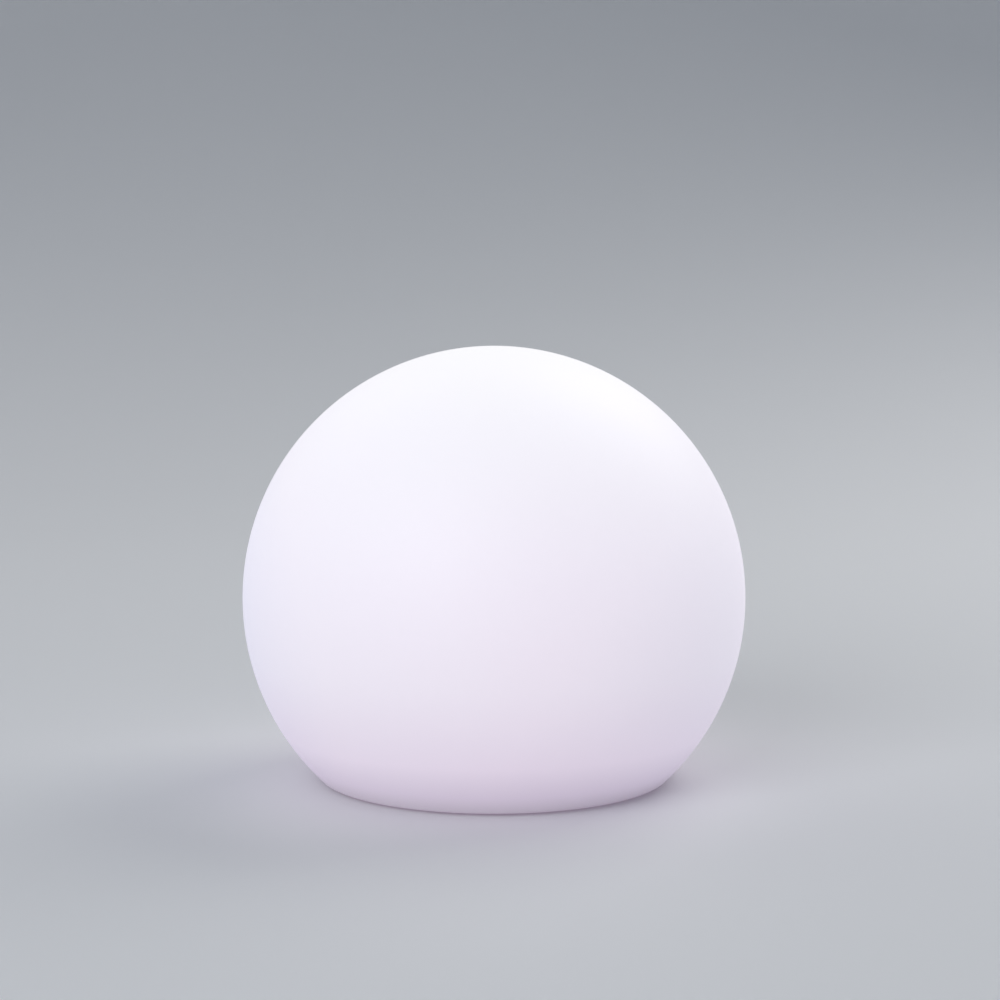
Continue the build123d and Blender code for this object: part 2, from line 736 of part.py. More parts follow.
with BuildPart() as module_housing:
    with BuildSketch(Plane.XY.offset(plate_top_z)):
        Circle(housing_radius)
    extrude(amount=roof_top_z - plate_top_z)
    fillet(module_housing.edges().group_by(Axis.Z)[-1], housing_edge_radius)
    add(round_part(housing_bore, plate_top_z, roof_z - plate_top_z), mode=Mode.SUBTRACT)
    # bosses for the plate's screws, the lens screws and the light board's screws
    with BuildSketch(Plane.XY.offset(plate_top_z)):
        with PolarLocations(housing_boss_circle, housing_screw_count, start_angle=corner_angle):
            Circle(boss_radius)
    extrude(amount=boss_height)
    with BuildSketch(Plane.XY.offset(lens_bite_floor_z)):
        with PolarLocations(lens_screw_circle, lens_screw_count):
            Circle(boss_radius)
    extrude(amount=boss_height - housing_edge_radius)
    with BuildSketch(Plane.XY.offset(roof_top_z - led_boss_height)):
        with PolarLocations(led_screw_circle, led_screw_count, start_angle=back_angle):
            Circle(led_boss_radius)
    extrude(amount=led_boss_height)
    # their bores, the seal's groove and the wires' slot
    with BuildSketch(Plane.XY.offset(plate_top_z)):
        with PolarLocations(housing_boss_circle, housing_screw_count, start_angle=corner_angle):
            Circle(small_screw_radius + thread_gap)
    extrude(amount=boss_height - boss_floor, mode=Mode.SUBTRACT)
    with BuildSketch(Plane.XY.offset(roof_top_z)):
        with PolarLocations(lens_screw_circle, lens_screw_count):
            Circle(small_screw_radius + thread_gap)
    extrude(amount=boss_floor - boss_height, mode=Mode.SUBTRACT)
    with BuildSketch(Plane.XY.offset(roof_top_z)):
        with PolarLocations(led_screw_circle, led_screw_count, start_angle=back_angle):
            Circle(board_screw_radius + thread_gap)
    extrude(amount=boss_floor - led_boss_height, mode=Mode.SUBTRACT)
    add(lens_groove, mode=Mode.SUBTRACT)
    with BuildSketch(Plane.XY.offset(roof_z)):
        with Locations((0, slot_y)):
            SlotOverall(slot_length, slot_width)
    extrude(amount=housing_roof, mode=Mode.SUBTRACT)
module_housing.part.label = "module_housing"

with BuildPart() as housing_seal:
    add(seal_ring(housing_seal_circle, seal_section, plate_top_z - seal_section))
housing_seal.part.label = "housing_seal"

# ---------------------------------------------------------------- control board
with BuildPart() as control_board:
    with BuildSketch(Plane.XY.offset(board_z)):
        Circle(board_radius)
        with PolarLocations(board_screw_circle, board_screw_count, start_angle=corner_angle):
            Circle(board_screw_radius + screw_gap, mode=Mode.SUBTRACT)
    extrude(amount=board_thickness)
control_board.part.label = "control_board"

board_screw = cross_head_screw(
    board_head_radius,
    board_head_height,
    board_screw_radius,
    board_thickness + standoff_height - screw_end_gap,
)
with BuildPart() as board_screws:
    with Locations((0, 0, board_top_z)):
        with PolarLocations(board_screw_circle, board_screw_count, start_angle=corner_angle):
            add(board_screw, rotation=(180, 0, 0))
board_screws.part.label = "board_screws"

controller_leg_count = int(controller_length / chip_leg_pitch)
charger_leg_count = int(charger_length / chip_leg_pitch)

with BuildPart() as controller_chip:
    with Locations((controller_x, chips_y, board_top_z)):
        add(leg_chip(controller_length, controller_width, controller_leg_count))
controller_chip.part.label = "controller_chip"

with BuildPart() as charger_chip:
    with Locations((charger_x, chips_y, board_top_z)):
        add(leg_chip(charger_length, charger_width, charger_leg_count))
charger_chip.part.label = "charger_chip"

inductor_place = (inductor_x, back_row_y)
with BuildPart() as power_inductor:
    with BuildSketch(Plane.XY.offset(board_top_z)):
        with Locations(inductor_place):
            Rectangle(inductor_size, inductor_size)
    extrude(amount=inductor_height)
    chamfer(power_inductor.edges().filter_by(Axis.Z), inductor_chamfer)
    with BuildSketch(Plane.XY.offset(board_top_z + inductor_height)):
        with Locations(inductor_place):
            Circle(inductor_size / 2 - inductor_groove)
            Circle(inductor_size / 2 - 2 * inductor_groove, mode=Mode.SUBTRACT)
    extrude(amount=-inductor_groove, mode=Mode.SUBTRACT)
power_inductor.part.label = "power_inductor"

capacitor_places = [
    (capacitor_x + step * capacitor_pitch, back_row_y + rise * capacitor_radius)
    for step, rise in enumerate(capacitor_rises)
]
with BuildPart() as capacitors:
    with BuildSketch(Plane.XY.offset(board_top_z)):
        with Locations(*capacitor_places):
            Rectangle(2 * capacitor_radius, 2 * capacitor_radius)
    extrude(amount=capacitor_base_height)
    chamfer(capacitors.edges().filter_by(Axis.Z), capacitor_base_chamfer)
    with BuildSketch(Plane.XY.offset(board_top_z)):
        with Locations(*capacitor_places):
            Circle(capacitor_radius)
    extrude(amount=capacitor_height)
    fillet(capacitors.edges().group_by(Axis.Z)[-1], capacitor_edge_radius)
capacitors.part.label = "capacitors"

with BuildPart() as status_led:
    with BuildSketch(Plane.XY.offset(status_led_z)):
        with Locations((pipe_x, port_y)):
            Rectangle(status_led_length, status_led_width)
    extrude(amount=status_led_height)
status_led.part.label = "status_led"

# ---------------------------------------------------------------- cable to the light board
with BuildPart() as led_cable_socket:
    with BuildSketch(Plane.XY.offset(board_top_z)):
        with Locations((0, plug_y)):
            Rectangle(socket_length, socket_width)
    extrude(amount=socket_height)
    with BuildSketch(Plane.XY.offset(board_top_z + socket_floor)):
        with Locations((0, plug_y)):
            Rectangle(plug_length + 2 * socket_gap, plug_width + 2 * socket_gap)
    extrude(amount=socket_height - socket_floor, mode=Mode.SUBTRACT)
led_cable_socket.part.label = "led_cable_socket"

with BuildPart() as led_cable_plug:
    with BuildSketch(Plane.XY.offset(board_top_z + socket_floor)):
        with Locations((0, plug_y)):
            Rectangle(plug_length, plug_width)
    extrude(amount=plug_height)
    chamfer(led_cable_plug.edges().group_by(Axis.Z)[0], socket_gap)
led_cable_plug.part.label = "led_cable_plug"

wire_drop = wire_shift / math.tan(math.radians(wire_lean))
wire_middle_z = (plug_top_z + led_board_z) / 2
leaning_run = math.hypot(wire_shift, wire_drop)
bend_radius = bend_share * leaning_run / math.tan(math.radians(wire_lean / 2))

with BuildPart() as led_cable:
    for wire in range(wire_count):
        wire_x = (wire - (wire_count - 1) / 2) * wire_pitch
        with BuildLine() as wire_path:
            FilletPolyline(
                (wire_x, plug_y, plug_top_z),
                (wire_x, plug_y, wire_middle_z - wire_drop / 2),
                (wire_x, slot_y, wire_middle_z + wire_drop / 2),
                (wire_x, slot_y, led_board_z),
                radius=bend_radius,
            )
        with BuildSketch(Plane(origin=(wire_x, plug_y, plug_top_z))):
            Circle(wire_radius)
        sweep(path=wire_path.line)
led_cable.part.label = "led_cable"

# ---------------------------------------------------------------- cell and holder
strap_notch_y = cell_bore - strap_gap

with BuildPart() as battery_holder:
    with BuildSketch(Plane.XY.offset(board_top_z)):
        Rectangle(2 * holder_half_length, 2 * holder_half_width)
    extrude(amount=holder_height)
    with BuildSketch(Plane.YZ.offset(-cell_half_length)):
        with Locations((0, cell_z)):
            Circle(cell_bore)
            Rectangle(2 * cell_bore, holder_height, align=(Align.CENTER, Align.MIN))
    extrude(amount=2 * cell_half_length, mode=Mode.SUBTRACT)
    with BuildSketch(Plane.XY.offset(cradle_z)):
        Rectangle(2 * holder_inner_x, contact_width + 2 * contact_gap)
    extrude(amount=holder_height, mode=Mode.SUBTRACT)
    with BuildSketch(Plane.XY.offset(board_top_z)):
        for side in (-1, 1):
            with Locations((0, side * (strap_notch_y + holder_half_width / 2))):
                Rectangle(strap_width + 2 * strap_gap, holder_half_width)
    extrude(amount=holder_height, mode=Mode.SUBTRACT)
battery_holder.part.label = "battery_holder"

with BuildPart() as battery_cell:
    with BuildSketch(Plane.YZ.offset(cell_start_x)):
        with Locations((0, cell_z)):
            Circle(cell_radius)
    extrude(amount=cell_length)
    fillet(battery_cell.edges().filter_by(GeomType.CIRCLE), cell_edge_radius)
battery_cell.part.label = "battery_cell"

with BuildPart() as cell_terminal:
    with BuildSketch(Plane.YZ.offset(cell_end_x)):
        with Locations((0, cell_z)):
            Circle(terminal_radius)
    extrude(amount=terminal_height)
cell_terminal.part.label = "cell_terminal"

contact_top_z = cell_z + contact_width / 2
with BuildPart() as battery_contacts:
    for side in (-1, 1):
        with BuildSketch(Plane.YZ.offset(side * contact_x)):
            with Locations((0, cradle_z)):
                Rectangle(
                    contact_width,
                    contact_top_z - cradle_z,
                    align=(Align.CENTER, Align.MIN),
                )
        extrude(amount=side * contact_thickness)
        with BuildSketch(Plane.YZ.offset(side * contact_x)):
            with Locations((0, cell_z)):
                Circle(contact_button_radius)
        extrude(amount=-side * contact_button_height)
battery_contacts.part.label = "battery_contacts"

with BuildPart() as battery_strap:
    with BuildSketch(Plane.YZ.offset(-strap_width / 2)):
        with Locations((0, cell_z)):
            Circle(strap_radius)
        with Locations((0, board_top_z)):
            Rectangle(
                2 * strap_radius,
                cell_z - board_top_z,
                align=(Align.CENTER, Align.MIN),
            )
            Rectangle(
                2 * (strap_radius + strap_tab),
                strap_thickness,
                align=(Align.CENTER, Align.MIN),
            )
        with Locations((0, cell_z)):
            Circle(cell_bore, mode=Mode.SUBTRACT)
        with Locations((0, board_top_z)):
            Rectangle(
                2 * cell_bore,
                cell_z - board_top_z,
                align=(Align.CENTER, Align.MIN),
                mode=Mode.SUBTRACT,
            )
    extrude(amount=strap_width)
battery_strap.part.label = "battery_strap"

# ---------------------------------------------------------------- light board
with BuildPart() as heat_spreader:
    with BuildSketch(Plane.XY.offset(roof_top_z)):
        Circle(spreader_radius)
        with PolarLocations(led_screw_circle, led_screw_count, start_angle=back_angle):
            Circle(board_screw_radius + screw_gap, mode=Mode.SUBTRACT)
        with Locations((0, slot_y)):
            SlotOverall(slot_length, slot_width, mode=Mode.SUBTRACT)
    extrude(amount=spreader_thickness)
heat_spreader.part.label = "heat_spreader"

with BuildPart() as led_board:
    with BuildSketch(Plane.XY.offset(led_board_z)):
        Circle(led_board_radius)
        with PolarLocations(led_screw_circle, led_screw_count, start_angle=back_angle):
            Circle(board_screw_radius + screw_gap, mode=Mode.SUBTRACT)
    extrude(amount=led_board_thickness)
led_board.part.label = "led_board"

led_board_screw = cross_head_screw(
    board_head_radius,
    board_head_height,
    board_screw_radius,
    led_board_thickness + spreader_thickness + led_screw_bite,
)
with BuildPart() as led_board_screws:
    with Locations((0, 0, led_z)):
        with PolarLocations(led_screw_circle, led_screw_count, start_angle=back_angle):
            add(led_board_screw, rotation=(180, 0, 0))
led_board_screws.part.label = "led_board_screws"

light_chip = led_chip()
with BuildPart() as colour_leds:
    with Locations((0, 0, led_z)):
        with PolarLocations(colour_led_circle, colour_led_count):
            add(light_chip)
colour_leds.part.label = "colour_leds"

with BuildPart() as white_leds:
    with Locations((0, 0, led_z)):
        with PolarLocations(white_led_circle, white_led_count):
            add(light_chip)
white_leds.part.label = "white_leds"

led_window = led_size + 2 * reflector_gap
with BuildPart() as reflector_sheet:
    with BuildSketch(Plane.XY.offset(led_z)):
        Circle(led_board_radius)
        with PolarLocations(colour_led_circle, colour_led_count):
            Rectangle(led_window, led_window, mode=Mode.SUBTRACT)
        with PolarLocations(white_led_circle, white_led_count):
            Rectangle(led_window, led_window, mode=Mode.SUBTRACT)
        with PolarLocations(led_screw_circle, led_screw_count, start_angle=back_angle):
            Circle(board_head_radius + reflector_gap, mode=Mode.SUBTRACT)
    extrude(amount=reflector_thickness)
reflector_sheet.part.label = "reflector_sheet"

# ---------------------------------------------------------------- dome
outer_dome = dome_face(dome_radius, dome_rise, dome_shoulder_radius)
inner_dome = dome_face(dome_bore, dome_rise - dome_wall, dome_shoulder_radius - dome_wall)

with BuildPart() as lens_dome:
    with BuildSketch(Plane.XZ):
        add(outer_dome)
        with Locations((0, roof_top_z)):
            Rectangle(
                dome_flange_radius,
                dome_flange_thickness,
                align=(Align.MIN, Align.MIN),
            )
        add(inner_dome, mode=Mode.SUBTRACT)
    revolve(axis=Axis.Z)
    with BuildSketch(Plane.XY.offset(roof_top_z)):
        with PolarLocations(lens_screw_circle, lens_screw_count):
            Circle(small_screw_radius + screw_gap)
    extrude(amount=dome_flange_thickness, mode=Mode.SUBTRACT)
lens_dome.part.label = "lens_dome"

with BuildPart() as lens_seal:
    add(seal_ring(lens_seal_circle, seal_section, roof_top_z - seal_section))
lens_seal.part.label = "lens_seal"

lens_screw = cross_head_screw(
    small_head_radius,
    small_head_height,
    small_screw_radius,
    dome_flange_thickness + screw_bite,
)
with BuildPart() as lens_screws:
    with Locations((0, 0, roof_top_z + dome_flange_thickness)):
        with PolarLocations(lens_screw_circle, lens_screw_count):
            add(lens_screw, rotation=(180, 0, 0))
lens_screws.part.label = "lens_screws"

# ---------------------------------------------------------------- files
pieces = [
    globe_shell,
    threaded_inserts,
    base_gasket,
    base_plate,
    base_screws,
    housing_screws,
    rubber_feet,
    light_pipe,
    button_cap,
    button_o_ring,
    switch_plunger,
    tact_switch,
    usb_socket,
    usb_tongue,
    port_cover,
    port_cover_seal,
    port_cover_pin,
    module_housing,
    housing_seal,
    control_board,
    board_screws,
    controller_chip,
    charger_chip,
    power_inductor,
    capacitors,
    status_led,
    led_cable_socket,
    led_cable_plug,
    led_cable,
    battery_holder,
    battery_cell,
    cell_terminal,
    battery_contacts,
    battery_strap,
    heat_spreader,
    led_board,
    led_board_screws,
    colour_leds,
    white_leds,
    reflector_sheet,
    lens_dome,
    lens_seal,
    lens_screws,
]

os.makedirs("parts", exist_ok=True)
for piece in pieces:
    export_step(piece.part, f"parts/{piece.part.label}.step")
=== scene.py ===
import json
import math

import bmesh
import bpy
import numpy as np
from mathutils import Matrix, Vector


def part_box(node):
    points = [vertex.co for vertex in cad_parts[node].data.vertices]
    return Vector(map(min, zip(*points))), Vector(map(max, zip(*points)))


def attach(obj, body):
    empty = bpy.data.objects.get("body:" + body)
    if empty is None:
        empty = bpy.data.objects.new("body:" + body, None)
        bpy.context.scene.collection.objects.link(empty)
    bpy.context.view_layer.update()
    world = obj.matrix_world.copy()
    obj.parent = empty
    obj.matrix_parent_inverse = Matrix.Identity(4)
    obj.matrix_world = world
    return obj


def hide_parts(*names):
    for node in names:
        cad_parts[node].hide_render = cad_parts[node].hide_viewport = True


# A lit garden globe light on a pale floor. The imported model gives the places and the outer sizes;
# the few that it can't give, such as walls and roundings, are named here. The pieces made here are
# surfaces worked out on grids, in metres, and take the place of the shapes that show most.
# Everything else keeps its own shape and gets a finish of its own.

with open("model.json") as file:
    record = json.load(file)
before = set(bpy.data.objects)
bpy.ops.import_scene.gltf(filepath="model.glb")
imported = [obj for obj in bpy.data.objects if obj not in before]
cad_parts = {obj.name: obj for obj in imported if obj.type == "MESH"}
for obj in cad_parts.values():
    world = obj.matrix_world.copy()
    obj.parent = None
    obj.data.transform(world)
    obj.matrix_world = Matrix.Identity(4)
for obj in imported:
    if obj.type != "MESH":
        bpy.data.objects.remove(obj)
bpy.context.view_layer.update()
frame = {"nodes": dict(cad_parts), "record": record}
nodes = frame["nodes"]
mm = 0.001


# ---------------------------------------------------------------- surfaces from arrays
merge_distance = 0.002 * mm


def grid_faces(rows, columns, closed):
    """Quads between neighbouring points of a rows by columns grid; closed joins last to first."""
    row, column = np.meshgrid(
        np.arange(rows - 1), np.arange(columns if closed else columns - 1), indexing="ij"
    )
    after = (column + 1) % columns
    corners = [
        row * columns + column,
        row * columns + after,
        (row + 1) * columns + after,
        (row + 1) * columns + column,
    ]
    return np.stack(corners, axis=-1).reshape(-1, 4)


def arc(centre, radius, start, end, count):
    """Points of a circle's arc: centre + radius * (cos t, sin t), t from start to end degrees."""
    t = np.radians(np.linspace(start, end, count))
    return np.stack([centre[0] + radius * np.cos(t), centre[1] + radius * np.sin(t)], axis=1)


def straight(start, end, count):
    """Points evenly spaced on the line from start to end."""
    share = np.linspace(0, 1, count)[:, None]
    return np.array(start) * (1 - share) + np.array(end) * share


def around(circle, count, start=0.0):
    """The count places on a circle, the first at the start angle in degrees."""
    angle = math.radians(start) + 2 * math.pi * np.arange(count) / count
    return np.stack([circle * np.cos(angle), circle * np.sin(angle)], axis=1)


def round_grid(place, radius, angle, height):
    """Points about an upright axis at a place: x = r cos a and y = r sin a from there, at a height."""
    x = place[0] + radius * np.cos(angle)
    y = place[1] + radius * np.sin(angle)
    return np.stack([x, y, np.broadcast_to(height, x.shape)], axis=-1), True


def turned(profile, steps, place=(0.0, 0.0)):
    """A profile of (radius, height) carried round an upright axis in even steps."""
    angle = 2 * math.pi * np.arange(steps) / steps
    return round_grid(place, profile[:, :1], angle, profile[:, 1:])


def piece(name, sheets, stands_for, sharp=40.0):
    """One object of several point grids, which rides on the lamp. Points that fall together are
    merged and its faces are turned outwards."""
    points, faces, first = [], [], 0
    for grid, closed in sheets:
        points.append(grid.reshape(-1, 3))
        faces.append(grid_faces(grid.shape[0], grid.shape[1], closed) + first)
        first += grid.shape[0] * grid.shape[1]
    mesh = bpy.data.meshes.new(name)
    mesh.from_pydata(np.concatenate(points), [], np.concatenate(faces))
    joined = bmesh.new()
    joined.from_mesh(mesh)
    bmesh.ops.remove_doubles(joined, verts=joined.verts, dist=merge_distance)
    bmesh.ops.recalc_face_normals(joined, faces=joined.faces)
    joined.to_mesh(mesh)
    joined.free()
    mesh.shade_smooth()
    mesh.set_sharp_from_angle(angle=math.radians(sharp))
    made = bpy.data.objects.new(name, mesh)
    bpy.context.scene.collection.objects.link(made)
    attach(made, "lamp")
    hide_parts(stands_for)
    return made


# ---------------------------------------------------------------- sizes read from the frame
globe_low, globe_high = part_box("globe_shell")
gasket_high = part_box("base_gasket")[1]
inserts_low, inserts_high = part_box("threaded_inserts")
feet_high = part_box("rubber_feet")[1]
board_low, board_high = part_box("control_board")
button_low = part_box("button_cap")[0]

globe_radius = globe_high.y
globe_centre_z = globe_high.z - globe_radius
underside_z = globe_low.z
plate_gap = 0.4 * mm
housing_gap = 2.0 * mm
seat_radius = gasket_high.x + plate_gap
ledge_z = gasket_high.z
throat_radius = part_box("module_housing")[1].x + housing_gap

# ---------------------------------------------------------------- the globe's shell
globe_wall = 2.5 * mm
edge_radius = 4.5 * mm
lip_radius = 0.8 * mm
insert_radius = 2.3 * mm
insert_wall = 2.0 * mm
insert_run_out = 1.5 * mm
run_out_radius = 1.75 * mm
boss_edge_radius = 0.8 * mm
base_screw_count = 6
base_screw_circle = inserts_high.x - insert_radius

# points along each stretch of the shell's section, and round it
steps_per_sector = 40
side_steps = 8
blend_steps = 4
outer_steps = (190, 16)
inner_steps = (90, 8)
wall_rows = 4
short_wall_rows = 3
lip_rows = 7
boss_edge_rows = 5


def globe_profile(inset, rounding, crown_steps, edge_steps):
    """Half section of the globe drawn in by inset: crown circle, then edge arc, to the floor."""
    radius = globe_radius - inset
    floor_z = underside_z + inset
    drop = globe_centre_z - floor_z - rounding
    edge_x = math.sqrt((radius - rounding) ** 2 - drop**2)
    edge_angle = math.degrees(math.atan2(drop, edge_x))
    crown = arc((0, globe_centre_z), radius, 90, -edge_angle, crown_steps)
    crown[0, 0] = 0.0
    edge = arc((edge_x, floor_z + rounding), rounding, -edge_angle, -90, edge_steps)
    return np.concatenate([crown, edge[1:]])


def sector_outline(inner, outer):
    """Closed outline of one sector of a ring, as radius and angle, from one outer corner round."""
    half = math.pi / base_screw_count
    turn = np.linspace(-half, half, steps_per_sector + 1)
    side = np.linspace(inner, outer, side_steps + 1)
    along_outer = np.stack([np.full(len(turn), outer), turn])
    down = np.stack([side[::-1][1:], np.full(side_steps, half)])
    along_inner = np.stack([np.full(len(turn) - 1, inner), turn[::-1][1:]])
    up = np.stack([side[1:-1], np.full(side_steps - 1, -half)])
    return np.concatenate([along_outer, down, along_inner, up], axis=1)


def screwed_ring(inner, outer, height, profile):
    """A flat ring with a boss or bore in each sector. Each sector is one grid: in polar form its
    outline is blended in to the first circle of the profile, and the profile's (radius, height)
    points then carry on about the screw's axis with the same bearings."""
    radius, angle = sector_outline(inner, outer)
    half = math.pi / base_screw_count
    bearing = np.arctan2(angle / half, 2 * (radius - base_screw_circle) / (outer - inner))
    circle_x = base_screw_circle + profile[:, :1] * np.cos(bearing)
    circle_y = profile[:, :1] * np.sin(bearing)
    share = np.linspace(1, 0, blend_steps + 1)[:-1, None]
    reach = share * radius + (1 - share) * np.hypot(circle_x[0], circle_y[0])
    swing = share * angle + (1 - share) * np.arctan2(circle_y[0], circle_x[0])
    x = np.concatenate([reach * np.cos(swing), circle_x])
    y = np.concatenate([reach * np.sin(swing), circle_y])
    flat = np.full((blend_steps, len(bearing)), height)
    z = np.concatenate([flat, np.repeat(profile[:, 1:], len(bearing), axis=1)])
    sheets = []
    for sector in range(base_screw_count):
        turn = 2 * math.pi * sector / base_screw_count
        east = x * math.cos(turn) - y * math.sin(turn)
        north = x * math.sin(turn) + y * math.cos(turn)
        sheets.append((np.stack([east, north, z], axis=-1), True))
    return sheets


def globe_shell():
    """The blown shell as one closed surface: crown, rounded edge, flat ring and seat outside,
    ledge with its insert bores, throat, ledge top with its bosses, inner floor and inner wall."""
    steps = base_screw_count * steps_per_sector
    floor_z = underside_z + globe_wall
    ledge_top = ledge_z + globe_wall
    step_radius = seat_radius + globe_wall
    boss_radius = insert_radius + insert_wall
    insert_top = inserts_high.z
    bore_top = insert_top + insert_run_out
    boss_top = bore_top + insert_wall
    lip_centre = (seat_radius + lip_radius, underside_z + lip_radius)
    outside = [
        globe_profile(0, edge_radius, *outer_steps),
        arc(lip_centre, lip_radius, -90, -180, lip_rows),
        straight((seat_radius, lip_centre[1]), (seat_radius, ledge_z), wall_rows)[1:],
    ]
    inside = [
        globe_profile(globe_wall, edge_radius - globe_wall, *inner_steps),
        straight((step_radius, floor_z), (step_radius, ledge_top), wall_rows),
    ]
    bore = [
        straight((insert_radius, ledge_z), (insert_radius, insert_top), wall_rows),
        straight((run_out_radius, insert_top), (run_out_radius, bore_top), short_wall_rows),
        np.array([(0.0, bore_top)]),
    ]
    crown_centre = (boss_radius - boss_edge_radius, boss_top - boss_edge_radius)
    boss = [
        straight((boss_radius, ledge_top), (boss_radius, crown_centre[1]), wall_rows)[:-1],
        arc(crown_centre, boss_edge_radius, 0, 90, boss_edge_rows),
        np.array([(0.0, boss_top)]),
    ]
    throat = straight((throat_radius, ledge_z), (throat_radius, ledge_top), short_wall_rows)
    sheets = [turned(np.concatenate(outside), steps), turned(np.concatenate(inside), steps)]
    sheets.append(turned(throat, steps))
    sheets += screwed_ring(throat_radius, seat_radius, ledge_z, np.concatenate(bore))
    sheets += screwed_ring(throat_radius, step_radius, ledge_top, np.concatenate(boss))
    return sheets


# ---------------------------------------------------------------- screws
# each kind of screw: head radius, head height, depth of its cross, shank radius and pitch
machine_screw = (2.75 * mm, 1.9 * mm, 0.9 * mm, 1.5 * mm, 0.5 * mm)
housing_screw = (2.2 * mm, 1.5 * mm, 0.7 * mm, 1.25 * mm, 1.1 * mm)
board_screw = (1.9 * mm, 1.4 * mm, 0.6 * mm, 1.0 * mm, 0.8 * mm)

screw_columns = 48
head_rows = 24
head_side_share = 0.25  # share of a pan head's height that is its upright side
cross_half_width = 0.13  # of the recess's arms, as a share of the head's radius
cross_reach = 0.55  # how far the arms reach out, as a share of the same
cross_slope = 0.12 * mm
rows_per_turn = 8
thread_share = 0.16  # depth of the thread, as a share of the shank's radius
point_turns = 1.5
point_share = 0.35  # radius left at the point's end, as a share of the shank's


def soft_step(value, edge):
    """1 below the edge and 0 above it, with a short slope of cross_slope between them."""
    return np.clip((edge - value) / cross_slope + 0.5, 0, 1)


def screw_surface(place, seat_z, way, length, kind):
    """A pan head screw about its axis, as radius and height over (row, angle). The head's height
    falls as the square root of 1 - u^4, less a cross recess; below the seat the radius follows a
    ridge that turns once per pitch. way is 1 where the shank rises from the seat, else -1."""
    head_radius, head_height, cross_depth, shank_radius, pitch = kind
    angle = 2 * math.pi * np.arange(screw_columns) / screw_columns
    u = np.sin(np.linspace(0, math.pi / 2, head_rows))[:, None]
    crown = head_side_share + (1 - head_side_share) * np.sqrt(1 - u**4)
    x, y = np.abs(head_radius * u * np.cos(angle)), np.abs(head_radius * u * np.sin(angle))
    arm, reach = head_radius * cross_half_width, head_radius * cross_reach
    upright = soft_step(x, arm) * soft_step(y, reach)
    across = soft_step(y, arm) * soft_step(x, reach)
    head_drop = -head_height * crown + cross_depth * np.maximum(upright, across)
    head_r = np.broadcast_to(head_radius * u, head_drop.shape)
    under_r = np.array([[head_radius], [shank_radius]])
    rows = int(length / pitch * rows_per_turn)
    depth = np.linspace(0, length, rows + 1)[1:, None]
    ridge = np.abs(2 * ((depth / pitch - angle / (2 * math.pi)) % 1.0) - 1)
    taper = np.clip((length - depth) / (point_turns * pitch), point_share, 1)
    cut = np.clip(depth / pitch, 0, 1) * thread_share * shank_radius
    shank_r = (shank_radius - cut * ridge) * taper
    ends = np.zeros((1, screw_columns))
    radius = np.concatenate([head_r, np.repeat(under_r, screw_columns, axis=1), shank_r, ends])
    drops = [head_drop, np.zeros((2, screw_columns)), np.repeat(depth, screw_columns, axis=1)]
    drop = np.concatenate([*drops, np.full((1, screw_columns), length)])
    return round_grid(place, radius, angle, seat_z + way * drop)


def screw_set(name, stands_for, places, way, kind):
    """Every screw of one kind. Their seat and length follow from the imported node's lowest and
    highest points."""
    low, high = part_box(stands_for)
    head_height = kind[1]
    seat_z = low.z + head_height if way > 0 else high.z - head_height
    length = high.z - low.z - head_height
    sheets = [screw_surface(place, seat_z, way, length, kind) for place in places]
    return piece(name, sheets, stands_for, sharp=35.0)


# ---------------------------------------------------------------- inserts and feet
insert_bore_radius = 1.55 * mm
insert_rows = 41
knurl_count = 24
knurl_depth = 0.22 * mm
knurl_lean = 2.2  # radians that a groove turns over the insert's length
waist_depth = 0.3 * mm
# where the waist ends and the plain edges start, from the insert's middle, and how long the slopes
# there are, all as shares of its length
waist_end, waist_slope = 0.12, 0.02
edge_start, edge_slope = 0.46, 0.04

foot_radius = 5.6 * mm
foot_edge = 0.5 * mm
foot_edge_rows = 7
foot_groove_depth = 0.2 * mm
foot_groove_radii = (1.8 * mm, 3.6 * mm)
groove_half_mouth = 0.30 * mm
groove_half_floor = 0.15 * mm
foot_steps = 72


def insert_surface(place):
    """A knurled insert: outside, the radius dips along two crossing sets of helical grooves, with
    a plain waist between the bands; inside is a plain bore."""
    columns = 4 * knurl_count
    angle = 2 * math.pi * np.arange(columns) / columns
    share = np.linspace(0, 1, insert_rows)[:, None]
    height = inserts_low.z + share * (inserts_high.z - inserts_low.z)
    lean = share * knurl_lean
    one_way = np.sin(knurl_count * (angle + lean) / 2)
    other_way = np.sin(knurl_count * (angle - lean) / 2)
    grooves = np.abs(one_way * other_way)
    band = np.abs(share - 0.5)
    waist = np.clip((waist_end - band) / waist_slope, 0, 1)
    edge = np.clip((band - edge_start) / edge_slope, 0, 1)
    knurl = knurl_depth * (1 - grooves) * (1 - waist) * (1 - edge)
    depth = np.maximum(knurl, waist_depth * waist)
    radius = insert_radius - np.maximum(depth, edge * knurl_depth)
    bore = np.full((2, columns), insert_bore_radius)
    radius = np.concatenate([bore[:1], radius, bore])
    height = np.concatenate([height[:1], height, height[-1:], height[:1]])
    return round_grid(place, radius, angle, height)


def foot_surface(place):
    """A rubber foot: flat disc with two shallow ring grooves, a rounded lower edge and plain side."""
    points = [(0.0, 0.0)]
    for groove_radius in foot_groove_radii:
        points += [
            (groove_radius - groove_half_mouth, 0.0),
            (groove_radius - groove_half_floor, foot_groove_depth),
            (groove_radius + groove_half_floor, foot_groove_depth),
            (groove_radius + groove_half_mouth, 0.0),
        ]
    rim = arc((foot_radius - foot_edge, foot_edge), foot_edge, -90, 0, foot_edge_rows)
    top = np.array([(foot_radius, feet_high.z), (0.0, feet_high.z)])
    return turned(np.concatenate([np.array(points), rim, top]), foot_steps, place)


